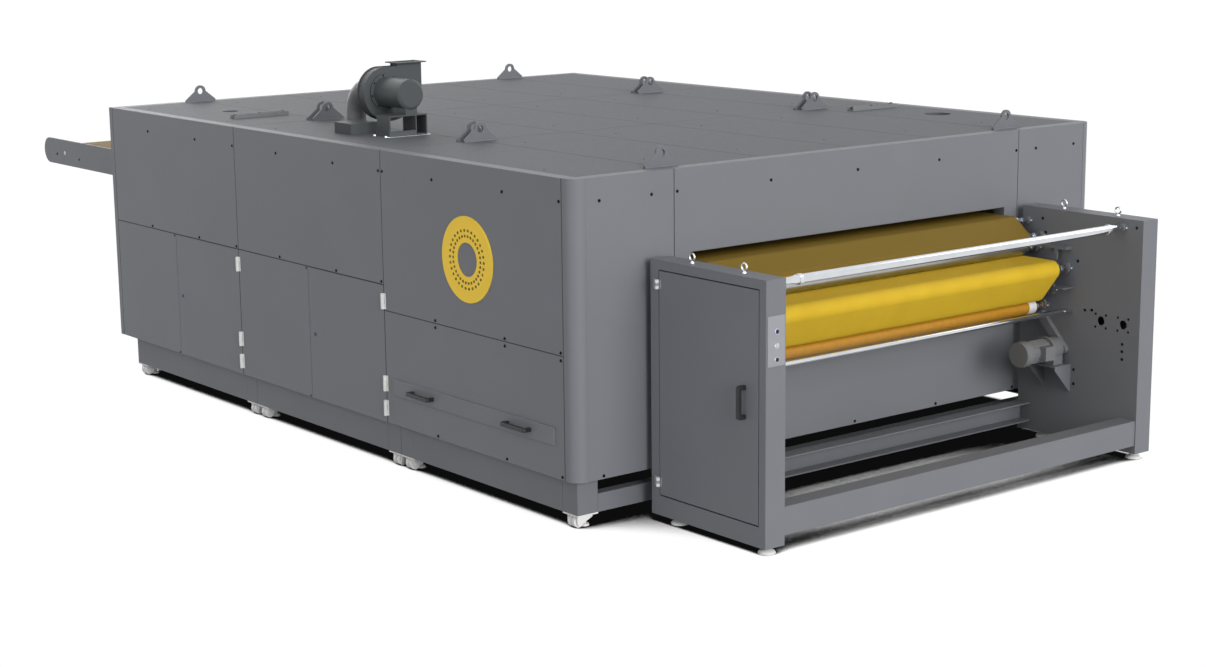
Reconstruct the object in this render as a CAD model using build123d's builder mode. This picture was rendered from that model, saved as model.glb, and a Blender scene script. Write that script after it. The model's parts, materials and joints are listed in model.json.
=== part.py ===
from build123d import *
import math
import os

os.makedirs("parts", exist_ok=True)

# A wide conveyor oven: a panelled housing of three modules on a low base, an in-feed table at one
# end and an out-feed unit with two slim cabinets at the other. X runs with the goods, from in-feed
# to out-feed, -Y is the operator's side, Z is up from the floor. The origin is the middle of the
# floor area. All sizes are in millimetres.

# Whole machine
INFEED_REACH = 1956.0
HOUSING_LENGTH = 3900.0
HOUSING_WIDTH = 3000.0
ROOF_Z = 1378.0
UNIT_GAP = 38.0
UNIT_LENGTH = 662.0

# Running and seating clearances
SEAT = 0.3
SHAFT_CLEARANCE = 0.05
DOOR_GAP = 5.0
SEAM = 3.0

# Housing panels
PANEL_BOTTOM_Z = 196.0
PANEL_THICKNESS = 60.0
MODULES = 3
INFEED_COLUMN = 35.0
OUTFEED_COLUMN = 70.0
EDGE_BREAK = 1.5
CORNER_RADIUS = 55.0
DOOR_TOP_Z = 799.0
DRAWER_PANEL_TOP_Z = 688.0
FIXED_PANEL_LENGTH = 636.0
FLOOR_THICKNESS = 20.0
ROOF_ROWS = 6

# Inner frame of the housing
POST = 60.0
ROOF_BEAM = 60.0

# Base
BASE_INSET = 30.0
BASE_FRAME_GAP = 2.0
BASE_START = 121.0
BASE_END = 31.0
BEAM_SHEET = 6.0
LEG_LENGTH = 97.0
LEG_WIDTH = 100.0
LEG_BOTTOM_Z = 58.0
SIDE_BEAM_WIDTH = 60.0
CROSS_BEAM_HEIGHT = 74.0
CROSS_BEAM_WIDTH = 50.0

# Levelling castors
CASTOR_PLATE = 6.0
CASTOR_BODY_WIDTH = 64.0
CASTOR_CHEEK = 6.0
CHEEK_RADIUS = 15.0
CASTOR_NUT_RADIUS = 17.0
CASTOR_NUT_HEIGHT = 12.0
WHEEL_RADIUS = 23.5
WHEEL_WIDTH = 42.0
WHEEL_GROOVE = 6.0
WHEEL_GROOVE_DEPTH = 5.0
WHEEL_CLEAR = 2.0
AXLE_RADIUS = 5.0
WHEEL_FROM_STEM = 42.0
PAD_RADIUS = 20.0
PAD_THICKNESS = 9.0
PAD_TAPER = 3.0
STEM_RADIUS = 8.0
CASTOR_FROM_LEG_FACE = 68.0

# Doors and hinges
HINGE_RADIUS = 8.0
HINGE_PIN_RADIUS = 3.0
HINGE_HEIGHT = 68.0
HINGE_LEAF = 14.0
HINGE_LEAF_THICKNESS = 3.0
DOOR_HINGE_Z = (262.0, 370.0, 730.0)
CABINET_HINGE_Z = (167.0, 953.0)
CABINET_HINGE_HEIGHT = 36.0
LOCK_RADIUS = 9.0
LOCK_PROUD = 3.0
LOCK_Z = 495.5
LOCK_FROM_EDGE = 45.0

# Filter drawer
DRAWER_FRONT_LENGTH = 1144.0
DRAWER_FRONT_HEIGHT = 73.0
DRAWER_FRONT_THICKNESS = 6.0
DRAWER_Z = 363.5
DRAWER_FROM_SEAM = 61.0
DRAWER_MARGIN = 15.0
DRAWER_DEPTH = 520.0
TRAY_WALL = 3.0
RUNNER_WIDTH = 40.0
RUNNER_HEIGHT = 20.0
HANDLE_LENGTH = 165.0
HANDLE_REACH = 38.0
HANDLE_BAR = 16.0
HANDLE_CORNER = 12.0
HANDLE_SPREAD = 684.0

# Vent disc
DISC_RADIUS = 177.0
DISC_HOLE_RADIUS = 70.0
DISC_THICKNESS = 4.0
DISC_Z = 988.0
DISC_FROM_SEAM = 635.0
DISC_RING_RADII = (96.0, 119.0)
DISC_RING_HOLES = 30
DISC_SMALL_HOLE_RADIUS = 4.5
DISC_HOLE_SIDES = 8

# Slots for the belt
SLOT_WIDTH = 1830.0
OUT_SLOT_BOTTOM_Z = 560.0
SLOT_TOP_Z = 1040.0
IN_SLOT_BOTTOM_Z = 880.0
END_SIDE_PANEL = 500.0

# Roof fittings
LUG_LENGTH = 170.0
LUG_HEIGHT = 84.0
LUG_THICKNESS = 10.0
LUG_HOLE_RADIUS = 16.0
LUG_HEAD = 14.0
LUG_TOE = 10.0
LUG_FROM_SIDE = 500.0
LUG_PAIR_SPREAD = 50.0
ROOF_RAIL_LENGTH = 300.0
ROOF_RAIL_WIDTH = 40.0
ROOF_RAIL_HEIGHT = 18.0
ROOF_RAIL_LIP = 5.0
ROOF_RAIL_PIN_RADIUS = 7.0
ROOF_RAIL_PIN_HEIGHT = 24.0
ROOF_RAIL_NEAR = (965.0, 333.0)
ROOF_RAIL_FAR = (-1120.0, 290.0)
PORT_NEAR = (630.0, 356.0)
PORT_FAR = (-737.0, 240.0)
PORT_NEAR_RADIUS = 40.0
PORT_FAR_RADIUS = 64.0

# Belt and its rollers
BELT_WIDTH = 1800.0
BELT_THICKNESS = 4.0
BELT_TOP_Z = 1008.0
BELT_RETURN_Z = 650.0
ROLLER_FACE = 1830.0
NOSE_X = 1675.0
NOSE_RADIUS = 46.0
TOP_GUIDE_X = 30.0
TOP_GUIDE_RADIUS = 20.0
DROP_GUIDE_X = 107.0
DROP_GUIDE_Z = 925.0
DROP_GUIDE_RADIUS = 18.0
WRAP_X = 84.0
WRAP_Z = 871.0
WRAP_RADIUS = 30.0
OUT_NOSE_X = 259.0
OUT_NOSE_RADIUS = 38.0
RETURN_X = 180.0
RETURN_RADIUS = 38.0
DRIVE_X = 132.0
DRIVE_RADIUS = 33.0
INNER_LOW_X = 250.0
INNER_LOW_RADIUS = 38.0
INNER_HIGH_X = 178.0
INNER_HIGH_RADIUS = 30.0
SHAFT_RADIUS = 12.0
SMALL_SHAFT_RADIUS = 9.0
BEARING_RATIO = 2.0
BEARING_THICKNESS = 14.0
TAKEOFF_X = 556.0
TAKEOFF_Z = 1009.0
TAKEOFF_RADIUS = 18.5
GUIDE_BAR_X = 282.0
GUIDE_BAR_Z = 612.0
GUIDE_BAR_RADIUS = 10.5
GUIDE_FLAT_LENGTH = 46.0
GUIDE_FLAT_WIDTH = 32.0
GUIDE_FLAT_THICKNESS = 6.0
GUIDE_FLAT_HOLE = 6.0
BEARING_FLANGE = 6.0
BEARING_EAR = 10.0
ROLLER_CHAMFER = 2.0

# Side plates of the conveyor
INFEED_PLATE_SPREAD = 2000.0
INFEED_PLATE_THICKNESS = 10.0
INFEED_PLATE_HEIGHT = 148.0
INFEED_PLATE_TOP_Z = 1034.0
BED_THICKNESS = 3.0
BED_BAR = 40.0
BED_BARS = 3
INNER_PLATE_SPREAD = 1900.0
INNER_PLATE_THICKNESS = 10.0

# Out-feed cabinets
CABINET_WIDTH = 97.0
CABINET_BOTTOM_Z = 31.0
CABINET_TOP_Z = 1047.0
NEAR_PLATE_Y = -1058.0
FAR_PLATE_Y = 997.0
CABINET_SHEET = 5.0
CABINET_BACK_POST = 49.0
CABINET_FRONT_POST = 37.0
CABINET_DOOR_BOTTOM_Z = 110.0
CABINET_DOOR_TOP_Z = 1010.0
CABINET_DOOR_THICKNESS = 20.0
FOOT_RADIUS = 28.0
FOOT_STEM_RADIUS = 8.0
FOOT_THICKNESS = 10.0
FOOT_TAPER = 5.0
FOOT_FROM_BACK = 112.0
FOOT_FROM_FRONT = 45.0
FOOT_NUT_RADIUS = 13.0
FOOT_NUT_HEIGHT = 8.0
CABINET_HANDLE_Z = 575.5
CABINET_HANDLE_LENGTH = 129.0
CABINET_HANDLE_FROM_FRONT = 117.0
PASS_HOLE_RADIUS = 20.0
PASS_HOLE_Z = 587.0
PASS_HOLES_FROM_FRONT = (88.0, 208.0)
PASS_SCREW_RADIUS = 3.5
PASS_SCREW_RING = 40.0
PASS_SCREWS = 4
EYE_BOLT_RADIUS = 14.0
EYE_BOLT_ROD = 4.0
EYE_BOLT_COLLAR = 9.0
EYE_BOLT_FROM_BACK = 192.0
EYE_BOLT_FROM_FRONT = 174.0

# Control plate
CONTROL_BOTTOM_Z = 724.0
CONTROL_TOP_Z = 913.0
CONTROL_WIDTH = 86.0
CONTROL_THICKNESS = 3.0
CONTROL_BUTTON_Z = (749.0, 800.0, 854.0)
CONTROL_BUTTON_RADIUS = 11.0
CONTROL_BUTTON_PROUD = 9.0

# Rails between the cabinets
FRONT_RAIL_BOTTOM_Z = 68.0
FRONT_RAIL_TOP_Z = 178.0
FRONT_RAIL_DEPTH = 86.0
FRONT_RAIL_INSET = 5.0
REAR_BEAM_BOTTOM_Z = 70.0
REAR_BEAM_TOP_Z = 157.0
REAR_BEAM_DEPTH = 63.0
REAR_BEAM_INSET = 7.0
RAIL_SHEET = 6.0

# Gearmotor, its bracket and the chain guard
GEAR_X = 222.0
GEAR_Z = 435.0
GEAR_BODY_LENGTH = 60.0
GEAR_BODY_RADIUS = 52.0
GEAR_FOOT_HEIGHT = 12.0
GEAR_FOOT_WIDTH = 94.0
GEAR_FLANGE_RADIUS = 60.0
GEAR_FLANGE_THICKNESS = 12.0
GEAR_MOTOR_RADIUS = 50.0
GEAR_COWL_RADIUS = 56.5
GEAR_COWL_LENGTH = 42.0
COWL_CHAMFER = 3.0
GEAR_MOTOR_LENGTH = 125.0
FIN_COUNT = 20
FIN_HEIGHT = 5.0
FIN_THICKNESS = 3.0
TERMINAL_BOX = 62.0
TERMINAL_BOX_DEPTH = 34.0
TERMINAL_BOX_SETBACK = 10.0
BRACKET_SHEET = 6.0
BRACKET_LENGTH = 150.0
BRACKET_REACH = 105.0
GUSSET_HEIGHT = 124.0
GUSSET_TOE = 18.0
GUARD_WIDTH = 38.0
GUARD_THICKNESS = 22.0
GUARD_FOOT = 40.0
ARM_Z = 880.0
ARM_LENGTH = 118.0
ARM_WIDTH = 30.0
ARM_THICKNESS = 10.0
ARM_STEM = 46.0
ARM_FROM_PLATE = 27.0
SHELF_X = 260.0
SHELF_Z = 710.0
SHELF_LENGTH = 66.0
SHELF_DEPTH = 60.0
SHELF_THICKNESS = 5.0

# Blower on the roof
BLOWER_X = 1925.0
BLOWER_WIDTH = 62.0
BLOWER_Y = 407.0
BLOWER_Z = 1560.0
BLOWER_SHEET = 4.0
SIDE_PLATE_LIP = 5.0
SCROLL_START_RADIUS = 105.0
SCROLL_GROWTH = 87.0
NECK_NEAR = 75.0
NECK_HEIGHT = 127.0
NECK_DEPTH = 90.0
FLANGE_THICKNESS = 5.0
FLANGE_RIM = 20.0
FLANGE_BOLT_RADIUS = 4.5
BLOWER_MOTOR_RADIUS = 67.5
BLOWER_MOTOR_LENGTH = 216.0
MOTOR_END_ROUND = 10.0
MOTOR_COLLAR_RADIUS = 82.0
MOTOR_COLLAR_LENGTH = 10.0
STAND_NEAR = 290.0
STAND_FAR = 490.0
STAND_HEIGHT = 93.0
STAND_FROM_VOLUTE = 106.0
STAND_LENGTH = 104.0
STAND_SHEET = 6.0
STAND_LEG = 62.0
STAND_LIP = 24.0
STAND_SADDLE = 60.0
SIDE_BOX_FROM_VOLUTE = 64.0
SIDE_BOX_LENGTH = 137.0
SIDE_BOX_NEAR = 211.0
SIDE_BOX_FAR = 351.0
SIDE_BOX_HEIGHT = 50.0
INLET_RADIUS = 45.0
INLET_BEND = 100.0
INLET_FROM_VOLUTE = 190.0
INLET_COLLAR_RADIUS = 62.0
INLET_COLLAR_THICKNESS = 8.0

# Places worked out from the sizes above
TOTAL_LENGTH = INFEED_REACH + HOUSING_LENGTH + UNIT_GAP + UNIT_LENGTH
X_IN = -TOTAL_LENGTH / 2 + INFEED_REACH
X_OUT = X_IN + HOUSING_LENGTH
MODULE_LENGTH = (HOUSING_LENGTH - INFEED_COLUMN - OUTFEED_COLUMN) / MODULES
UNIT_X = X_OUT + UNIT_GAP
UNIT_END_X = UNIT_X + UNIT_LENGTH
Y_NEAR = -HOUSING_WIDTH / 2
Y_FAR = HOUSING_WIDTH / 2
SEAMS_X = [X_IN + INFEED_COLUMN + i * MODULE_LENGTH for i in range(MODULES + 1)]
INNER_Y = HOUSING_WIDTH / 2 - PANEL_THICKNESS


def block(x, y, z, mode=Mode.ADD):
    """A block between two X values, two Y values and two Z values."""
    with Locations(((x[0] + x[1]) / 2, (y[0] + y[1]) / 2, (z[0] + z[1]) / 2)):
        Box(abs(x[1] - x[0]), abs(y[1] - y[0]), abs(z[1] - z[0]), mode=mode)


def rod(radius, x, y, z, mode=Mode.ADD):
    """A round bar along the one axis that has two ends, the other two hold its centre."""
    if isinstance(y, tuple):
        place = (x, (y[0] + y[1]) / 2, z)
        with Locations(place):
            Cylinder(radius, abs(y[1] - y[0]), rotation=(90, 0, 0), mode=mode)
    elif isinstance(x, tuple):
        place = ((x[0] + x[1]) / 2, y, z)
        with Locations(place):
            Cylinder(radius, abs(x[1] - x[0]), rotation=(0, 90, 0), mode=mode)
    else:
        place = (x, y, (z[0] + z[1]) / 2)
        with Locations(place):
            Cylinder(radius, abs(z[1] - z[0]), mode=mode)


def save(builder, name):
    """Names a finished piece and writes it."""
    builder.part.label = name
    export_step(builder.part, f"parts/{name}.step")


def turned_roller(x, z, radius, shaft_radius, near_end, far_end):
    """A roller turned about Y: the face as wide as the belt needs, a thinner shaft at both ends."""
    half = ROLLER_FACE / 2
    with BuildPart() as roller:
        with BuildSketch(Plane.YZ.offset(x)):
            with BuildLine():
                Polyline(
                    (near_end, z),
                    (near_end, z + shaft_radius),
                    (-half, z + shaft_radius),
                    (-half, z + radius - ROLLER_CHAMFER),
                    (-half + ROLLER_CHAMFER, z + radius),
                    (half - ROLLER_CHAMFER, z + radius),
                    (half, z + radius - ROLLER_CHAMFER),
                    (half, z + shaft_radius),
                    (far_end, z + shaft_radius),
                    (far_end, z),
                    close=True,
                )
            make_face()
        revolve(axis=Axis((x, 0, z), (0, 1, 0)))
    return roller


# Base: three welded frames end to end, each on four legs
BASE_LENGTH = HOUSING_LENGTH - BASE_START - BASE_END
BASE_FRAME_LENGTH = (BASE_LENGTH - (MODULES - 1) * BASE_FRAME_GAP) / MODULES
FRAME_STARTS = [
    X_IN + BASE_START + i * (BASE_FRAME_LENGTH + BASE_FRAME_GAP) for i in range(MODULES)
]
LEG_STARTS = [
    start + shift for start in FRAME_STARTS for shift in (0.0, BASE_FRAME_LENGTH - LEG_LENGTH)
]
BASE_Y = HOUSING_WIDTH / 2 - BASE_INSET
BASE_HEIGHT = PANEL_BOTTOM_Z - LEG_BOTTOM_Z

with BuildPart() as base_legs:
    for x in LEG_STARTS:
        block((x, x + LEG_LENGTH), (-BASE_Y, -BASE_Y + LEG_WIDTH), (LEG_BOTTOM_Z, PANEL_BOTTOM_Z))
    chamfer(base_legs.edges().filter_by(Axis.Z), EDGE_BREAK)
    mirror(about=Plane.XZ)
save(base_legs, "base_legs")

# Side beams are channels open to the inside, end beams are flat hollow sections
with BuildPart() as base_beams:
    for start in FRAME_STARTS:
        with BuildSketch(Plane.YZ.offset(start + LEG_LENGTH)):
            beam_y = -BASE_Y + SIDE_BEAM_WIDTH / 2
            with Locations((beam_y, LEG_BOTTOM_Z + BASE_HEIGHT / 2)):
                Rectangle(SIDE_BEAM_WIDTH, BASE_HEIGHT)
            with Locations((beam_y + BEAM_SHEET, LEG_BOTTOM_Z + BASE_HEIGHT / 2)):
                Rectangle(SIDE_BEAM_WIDTH, BASE_HEIGHT - 2 * BEAM_SHEET, mode=Mode.SUBTRACT)
        extrude(amount=BASE_FRAME_LENGTH - 2 * LEG_LENGTH)
    mirror(about=Plane.XZ)
    for start in FRAME_STARTS:
        for x in (start, start + BASE_FRAME_LENGTH - CROSS_BEAM_WIDTH):
            block(
                (x, x + CROSS_BEAM_WIDTH),
                (-BASE_Y + LEG_WIDTH, BASE_Y - LEG_WIDTH),
                (LEG_BOTTOM_Z, LEG_BOTTOM_Z + CROSS_BEAM_HEIGHT),
            )
save(base_beams, "base_beams")

# Levelling castors: a plate under the leg, a wheel between two cheeks in front, a screw foot behind
PLATE_Z = LEG_BOTTOM_Z - CASTOR_PLATE
CROWN_Z = PLATE_Z - CASTOR_NUT_HEIGHT
WHEEL_Z = WHEEL_RADIUS + WHEEL_CLEAR
with BuildPart() as levelling_castors:
    for leg in LEG_STARTS:
        x = leg + LEG_LENGTH / 2
        y = -BASE_Y + CASTOR_FROM_LEG_FACE
        wheel_y = y - WHEEL_FROM_STEM
        half = CASTOR_BODY_WIDTH / 2
        block((leg, leg + LEG_LENGTH), (-BASE_Y, -BASE_Y + LEG_WIDTH), (PLATE_Z, LEG_BOTTOM_Z))
        rod(STEM_RADIUS, x, y, (0, PLATE_Z))
        rod(CASTOR_NUT_RADIUS, x, y, (CROWN_Z, PLATE_Z))
        with Locations((x, y, PAD_THICKNESS / 2)):
            Cone(PAD_RADIUS, PAD_RADIUS - PAD_TAPER, PAD_THICKNESS)
        for cheek in (x - half, x + half - CASTOR_CHEEK):
            with BuildSketch(Plane.YZ.offset(cheek)):
                with BuildLine():
                    Polyline(
                        (wheel_y - CHEEK_RADIUS, WHEEL_Z),
                        (wheel_y + CHEEK_RADIUS, WHEEL_Z - AXLE_RADIUS),
                        (y + CASTOR_NUT_RADIUS, CROWN_Z),
                        (y + CASTOR_NUT_RADIUS, PLATE_Z),
                        (wheel_y - CHEEK_RADIUS, PLATE_Z),
                        close=True,
                    )
                make_face()
                with Locations((wheel_y, WHEEL_Z)):
                    Circle(CHEEK_RADIUS)
            extrude(amount=CASTOR_CHEEK)
        block((x - half, x + half), (y - STEM_RADIUS, y + STEM_RADIUS), (CROWN_Z, PLATE_Z))
        rod(AXLE_RADIUS, (x - half, x + half), wheel_y, WHEEL_Z)
        for tread in (x - WHEEL_WIDTH / 2, x + WHEEL_GROOVE / 2):
            tread_x = (tread, tread + (WHEEL_WIDTH - WHEEL_GROOVE) / 2)
            rod(WHEEL_RADIUS, tread_x, wheel_y, WHEEL_Z)
        groove_x = (x - WHEEL_GROOVE / 2, x + WHEEL_GROOVE / 2)
        rod(WHEEL_RADIUS - WHEEL_GROOVE_DEPTH, groove_x, wheel_y, WHEEL_Z)
    mirror(about=Plane.XZ)
save(levelling_castors, "levelling_castors")

with BuildPart() as floor_panel:
    block(
        (X_IN + PANEL_THICKNESS + SEAM, X_OUT - PANEL_THICKNESS - SEAM),
        (-INNER_Y + SEAM, INNER_Y - SEAM),
        (PANEL_BOTTOM_Z, PANEL_BOTTOM_Z + FLOOR_THICKNESS),
    )
save(floor_panel, "floor_panel")

# Housing columns: narrow at the in-feed end, wide and rounded at the out-feed end
with BuildPart() as corner_columns:
    block(
        (X_IN, SEAMS_X[0] - SEAM / 2),
        (Y_NEAR, Y_NEAR + PANEL_THICKNESS),
        (PANEL_BOTTOM_Z, ROOF_Z),
    )
    with BuildSketch(Plane.XY.offset(PANEL_BOTTOM_Z)):
        with BuildLine():
            Polyline(
                (X_OUT, Y_NEAR + CORNER_RADIUS),
                (X_OUT, Y_NEAR + PANEL_THICKNESS),
                (SEAMS_X[-1] + SEAM / 2, Y_NEAR + PANEL_THICKNESS),
                (SEAMS_X[-1] + SEAM / 2, Y_NEAR),
                (X_OUT - CORNER_RADIUS, Y_NEAR),
            )
            RadiusArc((X_OUT - CORNER_RADIUS, Y_NEAR), (X_OUT, Y_NEAR + CORNER_RADIUS), -CORNER_RADIUS)
        make_face()
    extrude(amount=ROOF_Z - PANEL_BOTTOM_Z)
    outer_edges = corner_columns.edges().filter_by(GeomType.LINE).group_by(Axis.Y)[0]
    chamfer(outer_edges.filter_by(Axis.Z).sort_by(Axis.X)[1:3], EDGE_BREAK)
    mirror(about=Plane.XZ)
save(corner_columns, "corner_columns")


def side_bay(module, left=0.0, right=0.0):
    """The two X values of a bay of one module, less the share of the seams at its ends."""
    return SEAMS_X[module] + left + SEAM / 2, SEAMS_X[module + 1] + right - SEAM / 2


NEAR_PANEL_Y = (Y_NEAR, Y_NEAR + PANEL_THICKNESS)
with BuildPart() as near_panels:
    for module in range(MODULES - 1):
        block(side_bay(module), NEAR_PANEL_Y, (DOOR_TOP_Z + SEAM, ROOF_Z))
        block(
            (SEAMS_X[module] + SEAM / 2, SEAMS_X[module] + FIXED_PANEL_LENGTH - SEAM / 2),
            NEAR_PANEL_Y,
            (PANEL_BOTTOM_Z, DOOR_TOP_Z),
        )
    block(side_bay(MODULES - 1), NEAR_PANEL_Y, (DRAWER_PANEL_TOP_Z + SEAM, ROOF_Z))
    chamfer(near_panels.edges().group_by(Axis.Y)[0], EDGE_BREAK)
save(near_panels, "near_panels")

# The drawer panel closes the lower part of the last module and has a slot for the drawer
DRAWER_X = (
    SEAMS_X[-2] + DRAWER_FROM_SEAM,
    SEAMS_X[-2] + DRAWER_FROM_SEAM + DRAWER_FRONT_LENGTH,
)
DRAWER_SLOT_X = (DRAWER_X[0] + DRAWER_MARGIN, DRAWER_X[1] - DRAWER_MARGIN)
DRAWER_SLOT_Z = (
    DRAWER_Z - DRAWER_FRONT_HEIGHT / 2 + DRAWER_MARGIN,
    DRAWER_Z + DRAWER_FRONT_HEIGHT / 2 - DRAWER_MARGIN,
)
with BuildPart() as drawer_panel:
    block(side_bay(MODULES - 1), NEAR_PANEL_Y, (PANEL_BOTTOM_Z, DRAWER_PANEL_TOP_Z))
    chamfer(drawer_panel.edges().group_by(Axis.Y)[0], EDGE_BREAK)
    block(DRAWER_SLOT_X, NEAR_PANEL_Y, DRAWER_SLOT_Z, mode=Mode.SUBTRACT)
save(drawer_panel, "drawer_panel")

# Filter drawer: a flat front plate and an open tray behind it
TRAY_X = (DRAWER_SLOT_X[0] + DOOR_GAP, DRAWER_SLOT_X[1] - DOOR_GAP)
TRAY_Z = (DRAWER_SLOT_Z[0] + DOOR_GAP, DRAWER_SLOT_Z[1] - DOOR_GAP)
FRONT_Y = Y_NEAR - SEAT
PLATE_Y = FRONT_Y - DRAWER_FRONT_THICKNESS
with BuildPart() as filter_drawer:
    block(
        DRAWER_X,
        (PLATE_Y, FRONT_Y),
        (DRAWER_Z - DRAWER_FRONT_HEIGHT / 2, DRAWER_Z + DRAWER_FRONT_HEIGHT / 2),
    )
    chamfer(filter_drawer.edges().group_by(Axis.Y)[0], EDGE_BREAK)
    block(TRAY_X, (FRONT_Y, FRONT_Y + DRAWER_DEPTH), TRAY_Z)
    block(
        (TRAY_X[0] + TRAY_WALL, TRAY_X[1] - TRAY_WALL),
        (FRONT_Y + TRAY_WALL, FRONT_Y + DRAWER_DEPTH - TRAY_WALL),
        (TRAY_Z[0] + TRAY_WALL, TRAY_Z[1] + TRAY_WALL),
        mode=Mode.SUBTRACT,
    )
save(filter_drawer, "filter_drawer")


def pull_handle(face, length):
    """A D-shaped pull lying flat: its feet stand on y = face, its grip is HANDLE_REACH in front."""
    middle = face - HANDLE_REACH / 2
    with BuildPart() as handle:
        with BuildSketch(Plane.XY.offset(-HANDLE_BAR / 2)) as outline:
            with Locations((0, middle)):
                Rectangle(length, HANDLE_REACH)
            fillet(outline.vertices().group_by(Axis.Y)[0], HANDLE_CORNER)
            with Locations((0, middle + HANDLE_BAR / 2)):
                Rectangle(length - 2 * HANDLE_BAR, HANDLE_REACH - HANDLE_BAR, mode=Mode.SUBTRACT)
        extrude(amount=HANDLE_BAR)
        chamfer(handle.edges().filter_by(Axis.X).group_by(Axis.Y)[0], EDGE_BREAK)
    return handle.part


DRAWER_PULL = pull_handle(PLATE_Y, HANDLE_LENGTH)
with BuildPart() as drawer_handles:
    for side in (-1, 1):
        x = (DRAWER_X[0] + DRAWER_X[1]) / 2 + side * HANDLE_SPREAD / 2
        with Locations((x, 0, DRAWER_Z)):
            add(DRAWER_PULL)
save(drawer_handles, "drawer_handles")

RUNNER_TOP_Z = TRAY_Z[0] - SEAT
RUNNER_Y = (Y_NEAR + PANEL_THICKNESS, FRONT_Y + DRAWER_DEPTH)
with BuildPart() as drawer_runners:
    for x in (TRAY_X[0], TRAY_X[1] - RUNNER_WIDTH):
        block((x, x + RUNNER_WIDTH), RUNNER_Y, (RUNNER_TOP_Z - RUNNER_HEIGHT, RUNNER_TOP_Z))
        block(
            (x, x + RUNNER_WIDTH),
            (RUNNER_Y[1] - RUNNER_WIDTH, RUNNER_Y[1]),
            (PANEL_BOTTOM_Z + FLOOR_THICKNESS, RUNNER_TOP_Z - RUNNER_HEIGHT),
        )
save(drawer_runners, "drawer_runners")

# Hinges: two fixed knuckles with the pin between them, and the door's knuckle in the middle
HINGE_Y = Y_NEAR - HINGE_RADIUS


def knuckle_heights(z, height):
    """Bottom and top of a hinge's lower, middle and upper knuckle, with a running gap between."""
    third = height / 3
    low = (z - height / 2, z - third / 2)
    middle = (z - third / 2 + SEAT, z + third / 2 - SEAT)
    high = (z + third / 2, z + height / 2)
    return low, middle, high


def fixed_hinge(x, face_y, z, height, side, leaf):
    """The frame's half of a hinge: a leaf on the face, two knuckles and the pin."""
    y = face_y - HINGE_RADIUS
    low, middle, high = knuckle_heights(z, height)
    for band in (low, high):
        rod(HINGE_RADIUS, x, y, band)
        block((x, x + side * leaf), (face_y - HINGE_LEAF_THICKNESS, face_y), band)
    reach = x + side * (HINGE_RADIUS + 1)
    block((reach, x + side * leaf), (face_y - HINGE_LEAF_THICKNESS, face_y), (low[0], high[1]))
    rod(HINGE_PIN_RADIUS, x, y, (low[0], high[1]))


def door_hinge(x, face_y, z, height, side, leaf):
    """The door's half of a hinge: a leaf on the door and the middle knuckle, bored for the pin."""
    y = face_y - HINGE_RADIUS
    low, middle, high = knuckle_heights(z, height)
    rod(HINGE_RADIUS, x, y, middle)
    block((x, x + side * leaf), (face_y - HINGE_LEAF_THICKNESS, face_y), middle)
    reach = x + side * (HINGE_RADIUS + 1)
    block((reach, x + side * leaf), (face_y - HINGE_LEAF_THICKNESS, face_y), (low[0], high[1]))
    rod(HINGE_PIN_RADIUS + SHAFT_CLEARANCE, x, y, middle, mode=Mode.SUBTRACT)


CABINET_Y = (NEAR_PLATE_Y - CABINET_WIDTH, NEAR_PLATE_Y)
CABINET_DOOR_X = (UNIT_X + CABINET_BACK_POST, UNIT_END_X - CABINET_FRONT_POST)
with BuildPart() as door_hinges:
    for module in range(MODULES - 1):
        for z in DOOR_HINGE_Z:
            fixed_hinge(SEAMS_X[module + 1], Y_NEAR, z, HINGE_HEIGHT, 1, HINGE_LEAF)
    for z in CABINET_HINGE_Z:
        fixed_hinge(CABINET_DOOR_X[0], CABINET_Y[0], z, CABINET_HINGE_HEIGHT, -1, HINGE_LEAF * 2)
save(door_hinges, "door_hinges")

for module in range(MODULES - 1):
    door_x = (
        SEAMS_X[module] + FIXED_PANEL_LENGTH + DOOR_GAP / 2,
        SEAMS_X[module + 1] - DOOR_GAP / 2,
    )
    with BuildPart() as lower_door:
        block(door_x, NEAR_PANEL_Y, (PANEL_BOTTOM_Z, DOOR_TOP_Z + SEAM - DOOR_GAP))
        for z in DOOR_HINGE_Z:
            door_hinge(SEAMS_X[module + 1], Y_NEAR, z, HINGE_HEIGHT, -1, HINGE_LEAF)
        rod(LOCK_RADIUS, door_x[0] + LOCK_FROM_EDGE, (Y_NEAR - LOCK_PROUD, Y_NEAR + 1), LOCK_Z)
    save(lower_door, f"lower_door_{module + 1}")

# Vent disc: a flat ring plate on the last upper panel with two rings of small holes
DISC_X = SEAMS_X[-2] + DISC_FROM_SEAM
with BuildPart() as vent_disc:
    with BuildSketch(Plane.XZ.offset(-Y_NEAR)):
        with Locations((DISC_X, DISC_Z)):
            Circle(DISC_RADIUS)
            Circle(DISC_HOLE_RADIUS, mode=Mode.SUBTRACT)
            for ring_radius in DISC_RING_RADII:
                with PolarLocations(ring_radius, DISC_RING_HOLES):
                    RegularPolygon(DISC_SMALL_HOLE_RADIUS, DISC_HOLE_SIDES, mode=Mode.SUBTRACT)
    extrude(amount=DISC_THICKNESS)
save(vent_disc, "vent_disc")

# Far side: the same bays with plain fixed panels
FAR_PANEL_Y = (Y_FAR - PANEL_THICKNESS, Y_FAR)
with BuildPart() as far_panels:
    for module in range(MODULES):
        block(side_bay(module), FAR_PANEL_Y, (DOOR_TOP_Z + SEAM, ROOF_Z))
        block(side_bay(module), FAR_PANEL_Y, (PANEL_BOTTOM_Z, DOOR_TOP_Z))
    chamfer(far_panels.edges().group_by(Axis.Y)[-1], EDGE_BREAK)
save(far_panels, "far_panels")


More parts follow.
